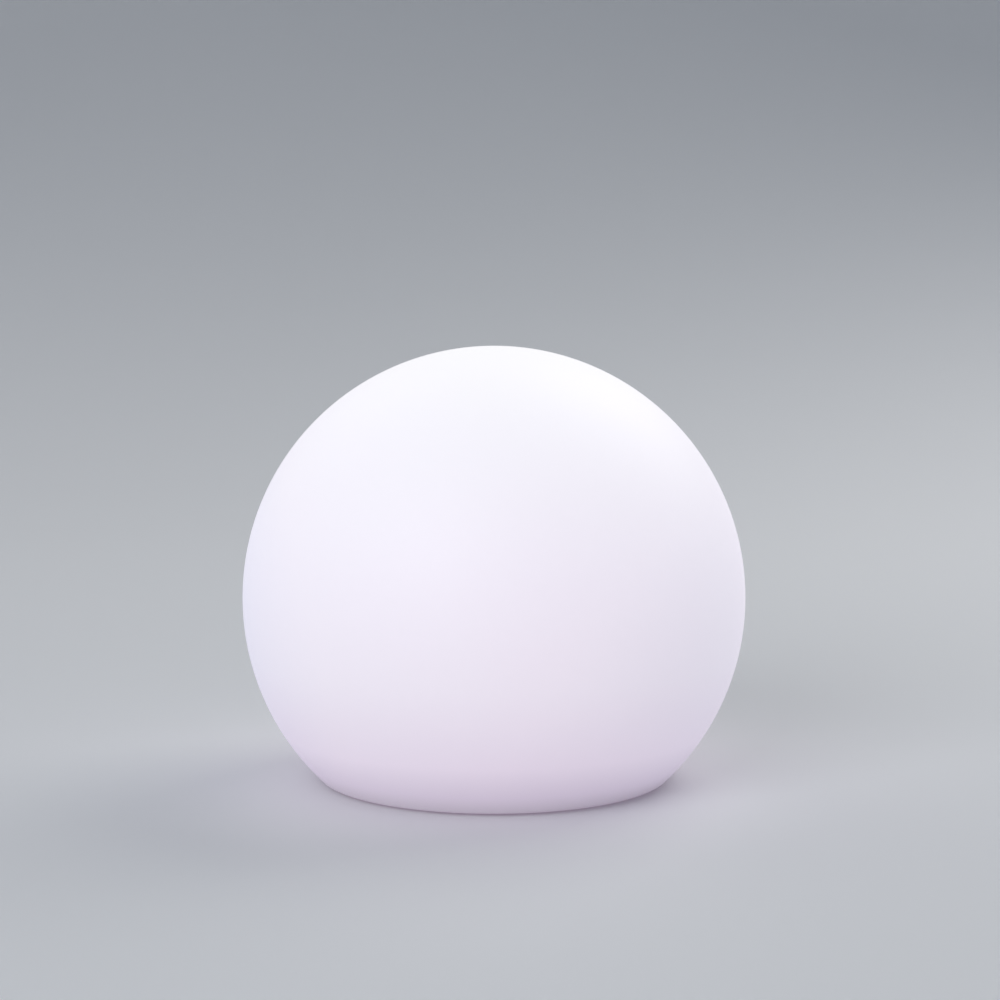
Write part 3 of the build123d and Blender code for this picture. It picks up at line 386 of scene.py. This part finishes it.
# ---------------------------------------------------------------- the pieces in their places
corner_angle = 45.0
corner_count = 4
back_angle = 90.0
lens_screw_count = 4
light_screw_count = 3
board_screw_inset = 5.0 * mm
foot_circle = (feet_high.x - foot_radius) / math.cos(math.radians(corner_angle))
lens_screw_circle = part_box("lens_screws")[1].x - housing_screw[0]
light_screw_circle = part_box("led_board_screws")[1].y - board_screw[0]

base_places = around(base_screw_circle, base_screw_count)
foot_places = around(foot_circle, corner_count, corner_angle)
board_places = around(board_high.x - board_screw_inset, corner_count, corner_angle)
lens_places = around(lens_screw_circle, lens_screw_count)
light_places = around(light_screw_circle, light_screw_count, back_angle)

skin = piece("globe_skin", globe_shell(), "globe_shell")
inserts = piece(
    "knurled_inserts", [insert_surface(place) for place in base_places], "threaded_inserts"
)
feet = piece("foot_pads", [foot_surface(place) for place in foot_places], "rubber_feet")
screws = [
    screw_set("shell_screws", "base_screws", base_places, 1, machine_screw),
    screw_set("module_screws", "housing_screws", foot_places, 1, housing_screw),
    screw_set("circuit_screws", "board_screws", board_places, -1, board_screw),
    screw_set("dome_screws", "lens_screws", lens_places, -1, housing_screw),
    screw_set("light_screws", "led_board_screws", light_places, -1, board_screw),
]


# ---------------------------------------------------------------- steps of a finish
def new_finish(name, colour, roughness, **even):
    """A material with one Principled shader, whose even values stand on its own sockets."""
    material = bpy.data.materials.new(name)
    material.use_nodes = True
    shader = material.node_tree.nodes["Principled BSDF"]
    shader.inputs["Base Color"].default_value = (*colour, 1.0)
    shader.inputs["Roughness"].default_value = roughness
    for key, value in even.items():
        shader.inputs[key.replace("_", " ")].default_value = value
    return material, material.node_tree, shader


def node(tree, kind, **values):
    """A node of that kind with its inputs or settings given by name."""
    made = tree.nodes.new(kind)
    for key, value in values.items():
        if key in made.inputs:
            made.inputs[key].default_value = value
        else:
            setattr(made, key, value)
    return made


def place_on_object(tree, stretch=(1.0, 1.0, 1.0), centre=(0.0, 0.0, 0.0)):
    """The point on the object, measured from a centre and stretched along the axes."""
    point = node(tree, "ShaderNodeTexCoord")
    mapping = node(tree, "ShaderNodeMapping", vector_type="POINT")
    mapping.inputs["Scale"].default_value = stretch
    mapping.inputs["Location"].default_value = [-c * s for c, s in zip(centre, stretch)]
    tree.links.new(point.outputs["Object"], mapping.inputs["Vector"])
    return mapping.outputs["Vector"]


def axis_of(tree, point, axis):
    """One coordinate of a point, by its letter."""
    split = node(tree, "ShaderNodeSeparateXYZ")
    tree.links.new(point, split.inputs["Vector"])
    return split.outputs[axis]


def share_between(tree, value, low, high):
    """How far a value lies on the way from low to high, as 0 to 1."""
    made = node(tree, "ShaderNodeMapRange")
    made.inputs["From Min"].default_value = low
    made.inputs["From Max"].default_value = high
    tree.links.new(value, made.inputs["Value"])
    return made.outputs["Result"]


def worked(tree, operation, first, second=None):
    """A step of arithmetic on sockets or numbers."""
    made = node(tree, "ShaderNodeMath", operation=operation)
    for socket, value in zip(made.inputs, (first, second)):
        if isinstance(value, (int, float)):
            socket.default_value = value
        elif value is not None:
            tree.links.new(value, socket)
    return made.outputs["Value"]


def product(tree, first, second):
    """Two values multiplied."""
    return worked(tree, "MULTIPLY", first, second)


def sum_of_squares(tree, first, second):
    """The squares of two values, added."""
    return worked(tree, "ADD", product(tree, first, first), product(tree, second, second))


def between(tree, value, low, high):
    """1 where a value lies between low and high, else 0."""
    above = worked(tree, "GREATER_THAN", value, low)
    below = worked(tree, "LESS_THAN", value, high)
    return product(tree, above, below)


def ramp(tree, source, stops, **settings):
    """A colour ramp of (position, colour) stops, driven by a socket."""
    made = node(tree, "ShaderNodeValToRGB")
    for key, value in settings.items():
        setattr(made.color_ramp, key, value)
    while len(made.color_ramp.elements) < len(stops):
        made.color_ramp.elements.new(0.5)
    for element, (position, colour) in zip(made.color_ramp.elements, stops):
        element.position = position
        element.color = (*colour, 1.0)
    tree.links.new(source, made.inputs["Fac"])
    return made.outputs["Color"]


def blended(tree, share, first, second, way="MIX"):
    """Two colours, each a socket or a colour, mixed or multiplied by a share from 0 to 1."""
    made = node(tree, "ShaderNodeMix", data_type="RGBA", blend_type=way)
    tree.links.new(share, made.inputs["Factor"])
    for socket, value in ((made.inputs["A"], first), (made.inputs["B"], second)):
        if isinstance(value, tuple):
            socket.default_value = (*value, 1.0)
        else:
            tree.links.new(value, socket)
    return made.outputs["Result"]


def noise(tree, point, size, detail=3.0):
    """Noise whose blots measure about size across, in metres."""
    made = node(tree, "ShaderNodeTexNoise", Scale=1.0 / size, Detail=detail)
    tree.links.new(point, made.inputs["Vector"])
    return made.outputs["Fac"]


def raised(tree, shader, height, distance, strength=0.5):
    """Relief on the shader's normal from a height socket; distance is its depth in metres."""
    relief = node(tree, "ShaderNodeBump", Strength=strength, Distance=distance)
    tree.links.new(height, relief.inputs["Height"])
    tree.links.new(relief.outputs["Normal"], shader.inputs["Normal"])


def shaded(colour, factor):
    """A colour made darker or lighter by a factor."""
    return tuple(min(1.0, channel * factor) for channel in colour)


# a finish drifts in colour and in gloss over patches this many times as large as its grain
drift_patch = 30
gloss_patch = 8
gloss_swing = 0.05  # of its roughness, either way


def grained(name, colour, roughness, grain, depth, tint=0.05, stretch=(1.0, 1.0, 1.0), **even):
    """A finish with fine grain in its relief, slow drift in its colour and a little in its gloss.
    The grain's size and depth are in metres, and tint is the share by which the colour drifts.
    Gives the material, its tree and shader, the point that the grain reads and the colour."""
    material, tree, shader = new_finish(name, colour, roughness, **even)
    point = place_on_object(tree, stretch)
    raised(tree, shader, noise(tree, point, grain), depth)
    drift = noise(tree, point, drift_patch * grain, detail=2.0)
    mottle = blended(tree, drift, shaded(colour, 1 - tint), shaded(colour, 1 + tint))
    tree.links.new(mottle, shader.inputs["Base Color"])
    gloss = node(tree, "ShaderNodeMapRange")
    gloss.inputs["To Min"].default_value = roughness - gloss_swing
    gloss.inputs["To Max"].default_value = roughness + gloss_swing
    tree.links.new(noise(tree, point, gloss_patch * grain), gloss.inputs["Value"])
    tree.links.new(gloss.outputs["Result"], shader.inputs["Roughness"])
    return material, tree, shader, point, mottle


def plain(*look, **even):
    """A grained finish that is the same all over."""
    return grained(*look, **even)[0]


# ---------------------------------------------------------------- the globe's glow, with painted shade and light
# the glow's colour by its height, as a share of the way from the underside to the crown: partly the
# lamp's glow fading towards the base, partly painted shade that darkens the lower globe and its
# rounded base edge
glow_and_painted_shade_by_height = [
    (0.0, (0.175, 0.14, 0.185)),
    (0.045, (0.31, 0.25, 0.335)),
    (0.12, (0.44, 0.37, 0.46)),
    (0.30, (0.51, 0.465, 0.54)),
    (0.50, (0.56, 0.52, 0.595)),
    (0.60, (0.585, 0.55, 0.62)),
    (0.85, (0.63, 0.61, 0.655)),
    (1.0, (0.665, 0.655, 0.66)),
]
# each patch of the glow has its middle, radius and tint there: the front one warms the glow itself,
# the left one is painted cool light on the left side, and the right one is painted shade on the lower
# right side
glow_tint_and_painted_light_patches = [
    ((16 * mm, -95 * mm, 62 * mm), 85 * mm, (1.0, 0.955, 0.97)),
    # painted cool light on the globe's left side
    ((-100 * mm, 0, 54 * mm), 82 * mm, (0.86, 0.93, 1.0)),
    # painted shade on the globe's lower right side
    ((82 * mm, -30 * mm, 20 * mm), 95 * mm, (0.88, 0.91, 0.93)),
]


def globe_finish():
    """Satin translucent white polyethylene, lit from inside: the glow fades towards the base, and
    painted shade darkens the lower globe and its rounded base edge further; patches add painted cool
    light on the left side and painted shade on the lower right side.
    """
    material, tree, shader = new_finish("lit_polyethylene_painted_shade", (0.50, 0.49, 0.50), 0.55)
    point = place_on_object(tree)
    height = share_between(tree, axis_of(tree, point, "Z"), underside_z, globe_high.z)
    # painted shade: the ramp darkens the lower globe and its rounded base edge beyond the glow's own
    # fade
    glow = ramp(tree, height, glow_and_painted_shade_by_height)
    for middle, radius, tint in glow_tint_and_painted_light_patches:
        patch = node(tree, "ShaderNodeTexGradient", gradient_type="SPHERICAL")
        near = place_on_object(tree, (1 / radius, 1 / radius, 1 / radius), middle)
        tree.links.new(near, patch.inputs["Vector"])
        # the left and right patches tint the glow as painted light and painted shade
        glow = blended(tree, patch.outputs["Fac"], glow, tint, way="MULTIPLY")
    tree.links.new(glow, shader.inputs["Emission Color"])
    shader.inputs["Emission Strength"].default_value = 1.0
    raised(tree, shader, noise(tree, point, 0.5 * mm), 0.02 * mm, 0.2)
    return material


# ---------------------------------------------------------------- mouldings and rubbers
def base_finish():
    """Warm white moulding with a fine spark-eroded texture."""
    return plain("textured_moulding", (0.74, 0.73, 0.72), 0.55, 0.35 * mm, 0.05 * mm, 0.03)


def housing_finish():
    """Satin white housing moulding."""
    return plain("housing_moulding", (0.79, 0.79, 0.79), 0.45, 0.4 * mm, 0.03 * mm, 0.03)


def holder_finish():
    """Matt black nylon of the cell holder."""
    return plain("holder_nylon", (0.02, 0.02, 0.023), 0.55, 0.3 * mm, 0.03 * mm, 0.15)


def connector_finish():
    """Ivory nylon of the cable's plug and socket."""
    return plain("ivory_nylon", (0.74, 0.69, 0.53), 0.42, 0.35 * mm, 0.02 * mm, 0.04)


def foot_finish():
    """Matt charcoal rubber."""
    return plain("foot_rubber", (0.035, 0.035, 0.038), 0.75, 0.25 * mm, 0.03 * mm, 0.15)


def cover_finish():
    """Matt dark grey rubber of the charging cover."""
    return plain("cover_rubber", (0.055, 0.055, 0.062), 0.7, 0.3 * mm, 0.03 * mm, 0.12)


def silicone_finish():
    """Brick red silicone seal with a soft sheen."""
    return plain(
        "silicone", (0.48, 0.085, 0.045), 0.5, 0.4 * mm, 0.01 * mm, 0.1, Coat_Weight=0.1
    )


def gasket_finish():
    """Pale grey foam rubber with a deep grain."""
    return plain("foam_gasket", (0.44, 0.45, 0.46), 0.85, 0.18 * mm, 0.06 * mm, 0.05)


def black_rubber_finish():
    """Black rubber ring, lightly greased."""
    return plain("ring_rubber", (0.012, 0.012, 0.012), 0.35, 0.3 * mm, 0.01 * mm, 0.2)


symbol_reach = 2.6 * mm
symbol_floor = (0.1 * mm, 0.3 * mm)  # its sunk floor lies between these heights over the face


def button_finish():
    """Grey satin cap; the sunk symbol in its face is filled with white paint."""
    material, tree, shader, point, mottle = grained(
        "button_plastic", (0.12, 0.125, 0.135), 0.42, 0.3 * mm, 0.02 * mm
    )
    flat = node(tree, "ShaderNodeVectorMath", operation="MULTIPLY")
    flat.inputs[1].default_value = (1.0, 1.0, 0.0)
    tree.links.new(point, flat.inputs[0])
    reach = node(tree, "ShaderNodeVectorMath", operation="LENGTH")
    tree.links.new(flat.outputs["Vector"], reach.inputs[0])
    near = worked(tree, "LESS_THAN", reach.outputs["Value"], symbol_reach)
    low, high = (button_low.z + height for height in symbol_floor)
    sunk = between(tree, axis_of(tree, point, "Z"), low, high)
    paint = blended(tree, product(tree, near, sunk), mottle, (0.85, 0.85, 0.86))
    tree.links.new(paint, shader.inputs["Base Color"])
    return material


# ---------------------------------------------------------------- metals
def steel_finish():
    """Bright zinc plate, faintly blue, with a fine grain."""
    return plain("zinc_plate", (0.62, 0.64, 0.67), 0.28, 0.2 * mm, 0.01 * mm, 0.08, Metallic=1.0)


def brass_finish():
    """Bright brass with a fine grain."""
    return plain("turned_brass", (0.72, 0.50, 0.20), 0.3, 0.2 * mm, 0.01 * mm, 0.1, Metallic=1.0)


def nickel_finish():
    """Nickel plated spring steel."""
    return plain("nickel_plate", (0.68, 0.66, 0.60), 0.22, 0.25 * mm, 0.01 * mm, 0.06, Metallic=1.0)


def aluminium_finish():
    """Brushed aluminium, with its lines along X."""
    along_x = (0.03, 1, 1)
    colour = (0.72, 0.73, 0.74)
    return plain(
        "brushed_aluminium", colour, 0.35, 0.12 * mm, 0.02 * mm, 0.05, stretch=along_x, Metallic=1.0
    )


# ---------------------------------------------------------------- clear and lit pieces
def clear_finish():
    """Clear polished light pipe."""
    colour = (0.92, 0.95, 0.98)
    clear = {"Transmission_Weight": 0.85, "IOR": 1.49}
    return plain("clear_pipe", colour, 0.1, 0.8 * mm, 0.005 * mm, 0.02, **clear)


def frosted_finish():
    """Milky frosted dome, lit from within and brightest at its crown."""
    material, tree, shader, point, mottle = grained(
        "frosted_dome", (0.86, 0.86, 0.88), 0.6, 0.3 * mm, 0.03 * mm, 0.02, Subsurface_Weight=0.2
    )
    shader.inputs["Subsurface Radius"].default_value = (2.0 * mm, 2.0 * mm, 2.2 * mm)
    low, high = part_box("lens_dome")
    rise = share_between(tree, axis_of(tree, point, "Z"), low.z, high.z)
    skirt, shoulder, crown = (0.06, 0.055, 0.06), (0.30, 0.29, 0.30), (0.46, 0.45, 0.47)
    glow = ramp(tree, rise, [(0.0, skirt), (0.3, shoulder), (1.0, crown)])
    tree.links.new(glow, shader.inputs["Emission Color"])
    shader.inputs["Emission Strength"].default_value = 0.8
    return material


def reflector_finish():
    """Bright white reflecting film."""
    return plain("white_film", (0.88, 0.88, 0.88), 0.3, 0.5 * mm, 0.01 * mm, 0.02, Coat_Weight=0.2)


def status_light_finish():
    """Small milky chip behind the light pipe."""
    return plain("status_chip", (0.75, 0.78, 0.74), 0.35, 0.2 * mm, 0.01 * mm, 0.04)


light_window_radius = 1.9 * mm
white_light_circle, white_light_count = 8.5 * mm, 4
colour_light_half = 2.5 * mm
colour_light_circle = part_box("colour_leds")[1].x - colour_light_half
colour_light_count = 12


def light_window(tree, circle, count):
    """1 inside the round windows of chips set on a circle: the angle is folded into one sector,
    and the distance there is taken from the chip's middle."""
    point = place_on_object(tree)
    x, y = axis_of(tree, point, "X"), axis_of(tree, point, "Y")
    sector = 2 * math.pi / count
    reach = worked(tree, "SQRT", sum_of_squares(tree, x, y))
    angle = worked(tree, "ADD", worked(tree, "ARCTAN2", y, x), 2 * math.pi + sector / 2)
    folded = worked(tree, "SUBTRACT", worked(tree, "MODULO", angle, sector), sector / 2)
    outwards = product(tree, reach, worked(tree, "COSINE", folded))
    along = worked(tree, "SUBTRACT", outwards, circle)
    aside = product(tree, reach, worked(tree, "SINE", folded))
    return worked(tree, "LESS_THAN", sum_of_squares(tree, along, aside), light_window_radius**2)


def light_chip_finish(name, circle, count, window, glow):
    """White chip bodies whose sunk round windows are lit."""
    material, tree, shader, point, mottle = grained(
        name, (0.8, 0.8, 0.78), 0.4, 0.3 * mm, 0.01 * mm, 0.03
    )
    inside = light_window(tree, circle, count)
    tree.links.new(blended(tree, inside, mottle, window), shader.inputs["Base Color"])
    tree.links.new(blended(tree, inside, (0.0, 0.0, 0.0), glow), shader.inputs["Emission Color"])
    shader.inputs["Emission Strength"].default_value = 2.0
    return material


# ---------------------------------------------------------------- boards and what is on them
track_area = 12.0 * mm
track_area_centre = (5.0 * mm, 3.0 * mm, 6.0 * mm)
track_length = 13.0 * mm
track_spacing = 1.3 * mm
track_line = 0.13 * mm
hole_spacing = 5.0 * mm
hole_share = 0.08  # radius of a tinned hole, as a share of the spacing
board_skin = 0.05 * mm  # how deep the mask reaches at the board's edge


def tracks(tree, point, turn):
    """1 on thin lines that run side by side, with a rung between two of them here and there."""
    mapping = node(tree, "ShaderNodeMapping", vector_type="POINT")
    mapping.inputs["Rotation"].default_value = (0.0, 0.0, turn)
    tree.links.new(point, mapping.inputs["Vector"])
    lines = node(tree, "ShaderNodeTexBrick", Scale=1.0)
    lines.inputs["Brick Width"].default_value = track_length
    lines.inputs["Row Height"].default_value = track_spacing
    lines.inputs["Mortar Size"].default_value = track_line
    tree.links.new(mapping.outputs["Vector"], lines.inputs["Vector"])
    return lines.outputs["Fac"]


def board_finish():
    """Green solder mask over copper tracks, which run along X in some areas and along Y in
    others, with tinned holes between them; the board's edge is bare resin."""
    material, tree, shader, point, mottle = grained(
        "green_board", (0.010, 0.085, 0.038), 0.28, 0.3 * mm, 0.01 * mm, 0.06
    )
    over_copper, tin, resin = (0.022, 0.15, 0.07), (0.55, 0.54, 0.48), (0.30, 0.27, 0.13)
    areas = node(tree, "ShaderNodeTexChecker", Scale=1.0 / track_area)
    tree.links.new(place_on_object(tree, centre=track_area_centre), areas.inputs["Vector"])
    chosen = node(tree, "ShaderNodeMix", data_type="FLOAT")
    tree.links.new(areas.outputs["Fac"], chosen.inputs["Factor"])
    tree.links.new(tracks(tree, point, 0.0), chosen.inputs["A"])
    tree.links.new(tracks(tree, point, math.pi / 2), chosen.inputs["B"])
    copper = chosen.outputs["Result"]
    holes = node(tree, "ShaderNodeTexVoronoi", voronoi_dimensions="2D", Scale=1.0 / hole_spacing)
    tree.links.new(point, holes.inputs["Vector"])
    tinned = worked(tree, "LESS_THAN", holes.outputs["Distance"], hole_share)
    face = blended(tree, tinned, blended(tree, copper, mottle, over_copper), tin)
    height = axis_of(tree, point, "Z")
    side = between(tree, height, board_low.z + board_skin, board_high.z - board_skin)
    tree.links.new(blended(tree, side, face, resin), shader.inputs["Base Color"])
    raised(tree, shader, copper, 0.03 * mm, 0.5)
    return material


def light_board_finish():
    """White solder mask with a faint cream tint."""
    return plain("white_board", (0.78, 0.78, 0.75), 0.35, 0.4 * mm, 0.01 * mm, 0.03)


def chip_finish():
    """Matt black moulding of the switch, its plunger and the socket's tongue."""
    return plain("chip_epoxy", (0.018, 0.018, 0.02), 0.55, 0.15 * mm, 0.02 * mm, 0.2)


leg_reach = 1.0 * mm  # how far the legs stand out beyond the body
leg_clearance = 0.02 * mm


def leg_finish(name, chip):
    """Black epoxy body with bright tinned legs beyond its long sides."""
    material, tree, shader, point, mottle = grained(
        name, (0.018, 0.018, 0.02), 0.5, 0.15 * mm, 0.02 * mm, 0.2
    )
    low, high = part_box(chip)
    middle_y = (low.y + high.y) / 2
    body_side = (high.y - low.y) / 2 - leg_reach
    aside = worked(tree, "SUBTRACT", axis_of(tree, point, "Y"), middle_y)
    leg = worked(tree, "GREATER_THAN", worked(tree, "ABSOLUTE", aside), body_side + leg_clearance)
    tree.links.new(blended(tree, leg, mottle, (0.62, 0.62, 0.63)), shader.inputs["Base Color"])
    tree.links.new(leg, shader.inputs["Metallic"])
    return material


def ferrite_finish():
    """Grey ferrite with a coarse sintered grain."""
    return plain("ferrite", (0.045, 0.045, 0.05), 0.6, 0.2 * mm, 0.05 * mm, 0.25)


capacitor_base_height = 0.9 * mm


def capacitor_finish():
    """Brushed aluminium cans on black moulded bases."""
    along_z = (1, 1, 0.15)
    material, tree, shader, point, mottle = grained(
        "capacitor_can", (0.66, 0.67, 0.69), 0.3, 0.15 * mm, 0.01 * mm, 0.06, stretch=along_z
    )
    base_top = board_high.z + capacitor_base_height
    can = worked(tree, "GREATER_THAN", axis_of(tree, place_on_object(tree), "Z"), base_top)
    tree.links.new(blended(tree, can, (0.02, 0.02, 0.022), mottle), shader.inputs["Base Color"])
    tree.links.new(can, shader.inputs["Metallic"])
    return material


# ---------------------------------------------------------------- wires and the cell
wire_colours = [
    (0.02, 0.02, 0.02),
    (0.55, 0.03, 0.02),
    (0.03, 0.3, 0.05),
    (0.02, 0.08, 0.5),
    (0.8, 0.8, 0.78),
]


def wire_finish():
    """Five insulated wires side by side, each in its own colour."""
    material, tree, shader = new_finish("wire_insulation", wire_colours[1], 0.4)
    point = place_on_object(tree)
    low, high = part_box("led_cable")
    across = share_between(tree, axis_of(tree, point, "X"), low.x, high.x)
    stops = [(index / len(wire_colours), colour) for index, colour in enumerate(wire_colours)]
    colour = ramp(tree, across, stops, interpolation="CONSTANT")
    tree.links.new(colour, shader.inputs["Base Color"])
    raised(tree, shader, noise(tree, point, 0.4 * mm), 0.02 * mm)
    return material


bare_end = 0.6 * mm


def cell_finish():
    """Blue shrink film with fine creases round the cell, and bare steel at its ends."""
    look = ("shrink_film", (0.012, 0.09, 0.36), 0.25, 0.9 * mm, 0.04 * mm, 0.08)
    round_x = (3, 1, 1)
    material, tree, shader, point, mottle = grained(*look, stretch=round_x, Coat_Weight=0.4)
    low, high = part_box("battery_cell")
    along = axis_of(tree, place_on_object(tree), "X")
    film = between(tree, along, low.x + bare_end, high.x - bare_end)
    tree.links.new(blended(tree, film, (0.6, 0.6, 0.6), mottle), shader.inputs["Base Color"])
    tree.links.new(worked(tree, "SUBTRACT", 1.0, film), shader.inputs["Metallic"])
    return material


# ---------------------------------------------------------------- which finish goes where
yellow_window, clear_window = (0.8, 0.62, 0.1), (0.85, 0.85, 0.83)
white_glow, coloured_glow = (1.0, 0.93, 0.8), (0.8, 0.75, 1.0)
finishes = {
    "base": base_finish(),
    "foot_rubber": foot_finish(),
    "button": button_finish(),
    "cover": cover_finish(),
    "silicone": silicone_finish(),
    "gasket": gasket_finish(),
    "black_rubber": black_rubber_finish(),
    "steel": steel_finish(),
    "brass": brass_finish(),
    "housing": housing_finish(),
    "clear": clear_finish(),
    "frosted": frosted_finish(),
    "board": board_finish(),
    "light_board": light_board_finish(),
    "chip": chip_finish(),
    "ferrite": ferrite_finish(),
    "capacitor": capacitor_finish(),
    "connector": connector_finish(),
    "wire": wire_finish(),
    "holder": holder_finish(),
    "cell_wrap": cell_finish(),
    "nickel": nickel_finish(),
    "aluminium": aluminium_finish(),
    "reflector": reflector_finish(),
    "led": light_chip_finish(
        "white_lights", white_light_circle, white_light_count, yellow_window, white_glow
    ),
    "colour_led": light_chip_finish(
        "colour_lights", colour_light_circle, colour_light_count, clear_window, coloured_glow
    ),
}
own_finish = {
    "controller_chip": leg_finish("controller_epoxy", "controller_chip"),
    "charger_chip": leg_finish("charger_epoxy", "charger_chip"),
    "status_led": status_light_finish(),
}

skin.data.materials.append(globe_finish())
inserts.data.materials.append(finishes["brass"])
feet.data.materials.append(finishes["foot_rubber"])
for screw in screws:
    screw.data.materials.append(finishes["steel"])
for row in frame["record"]["subparts"]:
    slot = row["material_slot"]
    if slot in finishes:
        nodes[row["node"]].material_slots[0].material = own_finish.get(row["node"], finishes[slot])


# ---------------------------------------------------------------- stage and lights
floor_radius = 0.9
sweep_radius = 2.4
wall_height = 2.6
floor_rows = 40
sweep_rows = 24
wall_top_rows = 6
floor_steps = 128


def studio_floor():
    """A round pale floor that sweeps up into a wall all round: a turned profile, open above."""
    wall_radius = floor_radius + sweep_radius
    profile = [
        straight((0.0, 0.0), (floor_radius, 0.0), floor_rows),
        arc((floor_radius, sweep_radius), sweep_radius, -90, 0, sweep_rows)[1:],
        straight((wall_radius, sweep_radius), (wall_radius, wall_height), wall_top_rows)[1:],
    ]
    grid, closed = turned(np.concatenate(profile), floor_steps)
    mesh = bpy.data.meshes.new("studio_floor")
    mesh.from_pydata(grid.reshape(-1, 3), [], grid_faces(*grid.shape[:2], closed))
    mesh.shade_smooth()
    mesh.materials.append(new_finish("floor_paint", (0.84, 0.84, 0.85), 0.7)[0])
    made = bpy.data.objects.new("studio_floor", mesh)
    bpy.context.scene.collection.objects.link(made)


# each light: its name, place, power in watts and colour
light_size = 1.2
light_aim = (0, 0, 0.1)
daylight = (1.0, 0.99, 0.97)
studio_lights = [
    ("front_light", (-0.9, -1.6, 1.1), 13.0, (0.93, 0.975, 1.0)),
    ("right_back_light", (0.9, 0.8, 1.2), 8.8, daylight),
    ("left_back_light", (-0.9, 0.8, 1.2), 2.5, daylight),
]
air_colour = (0.80, 0.88, 1.0)
air_strength = 0.28


def soft_light(name, place, power, colour):
    """A square soft light at a place, turned towards the aim and hidden from the camera."""
    data = bpy.data.lights.new(name, "AREA")
    data.shape = "SQUARE"
    data.size = light_size
    data.energy = power
    data.color = colour
    made = bpy.data.objects.new(name, data)
    bpy.context.scene.collection.objects.link(made)
    made.location = place
    direction = np.array(light_aim) - np.array(place)
    made.rotation_euler = (
        math.acos(-direction[2] / np.linalg.norm(direction)),
        0.0,
        math.atan2(direction[1], direction[0]) - math.pi / 2,
    )
    made.visible_camera = False


def studio_air():
    """Even pale blue light from all round."""
    world = bpy.data.worlds.new("studio_air")
    world.use_nodes = True
    background = world.node_tree.nodes["Background"]
    background.inputs["Color"].default_value = (*air_colour, 1.0)
    background.inputs["Strength"].default_value = air_strength
    bpy.context.scene.world = world


studio_floor()
for light in studio_lights:
    soft_light(*light)
studio_air()
bpy.context.scene.view_settings.view_transform = "Standard"

# ---------------------------------------------------------------- camera
# it looks at the globe from the front and a little above; the globe's centre falls on its pixel
# of the square picture
view_distance = 1.0
view_elevation = math.radians(8.52)
picture_size = 1000
globe_pixel = (494.0, 596.4)
lens_length = 90.0
sensor_size = 36.0


def set_camera():
    """The camera at its distance and height, tilted so that the globe falls on its pixel."""
    data = bpy.data.cameras.new("camera")
    data.lens = lens_length
    data.sensor_width = sensor_size
    camera = bpy.data.objects.new("camera", data)
    bpy.context.scene.collection.objects.link(camera)
    camera.location = (
        0.0,
        -view_distance * math.cos(view_elevation),
        globe_centre_z + view_distance * math.sin(view_elevation),
    )
    focal_pixels = lens_length / sensor_size * picture_size
    lift = math.atan((globe_pixel[1] - picture_size / 2) / focal_pixels)
    turn = math.atan((globe_pixel[0] - picture_size / 2) / focal_pixels)
    camera.rotation_euler = (math.pi / 2 - view_elevation + lift, 0.0, turn)
    bpy.context.scene.camera = camera


set_camera()
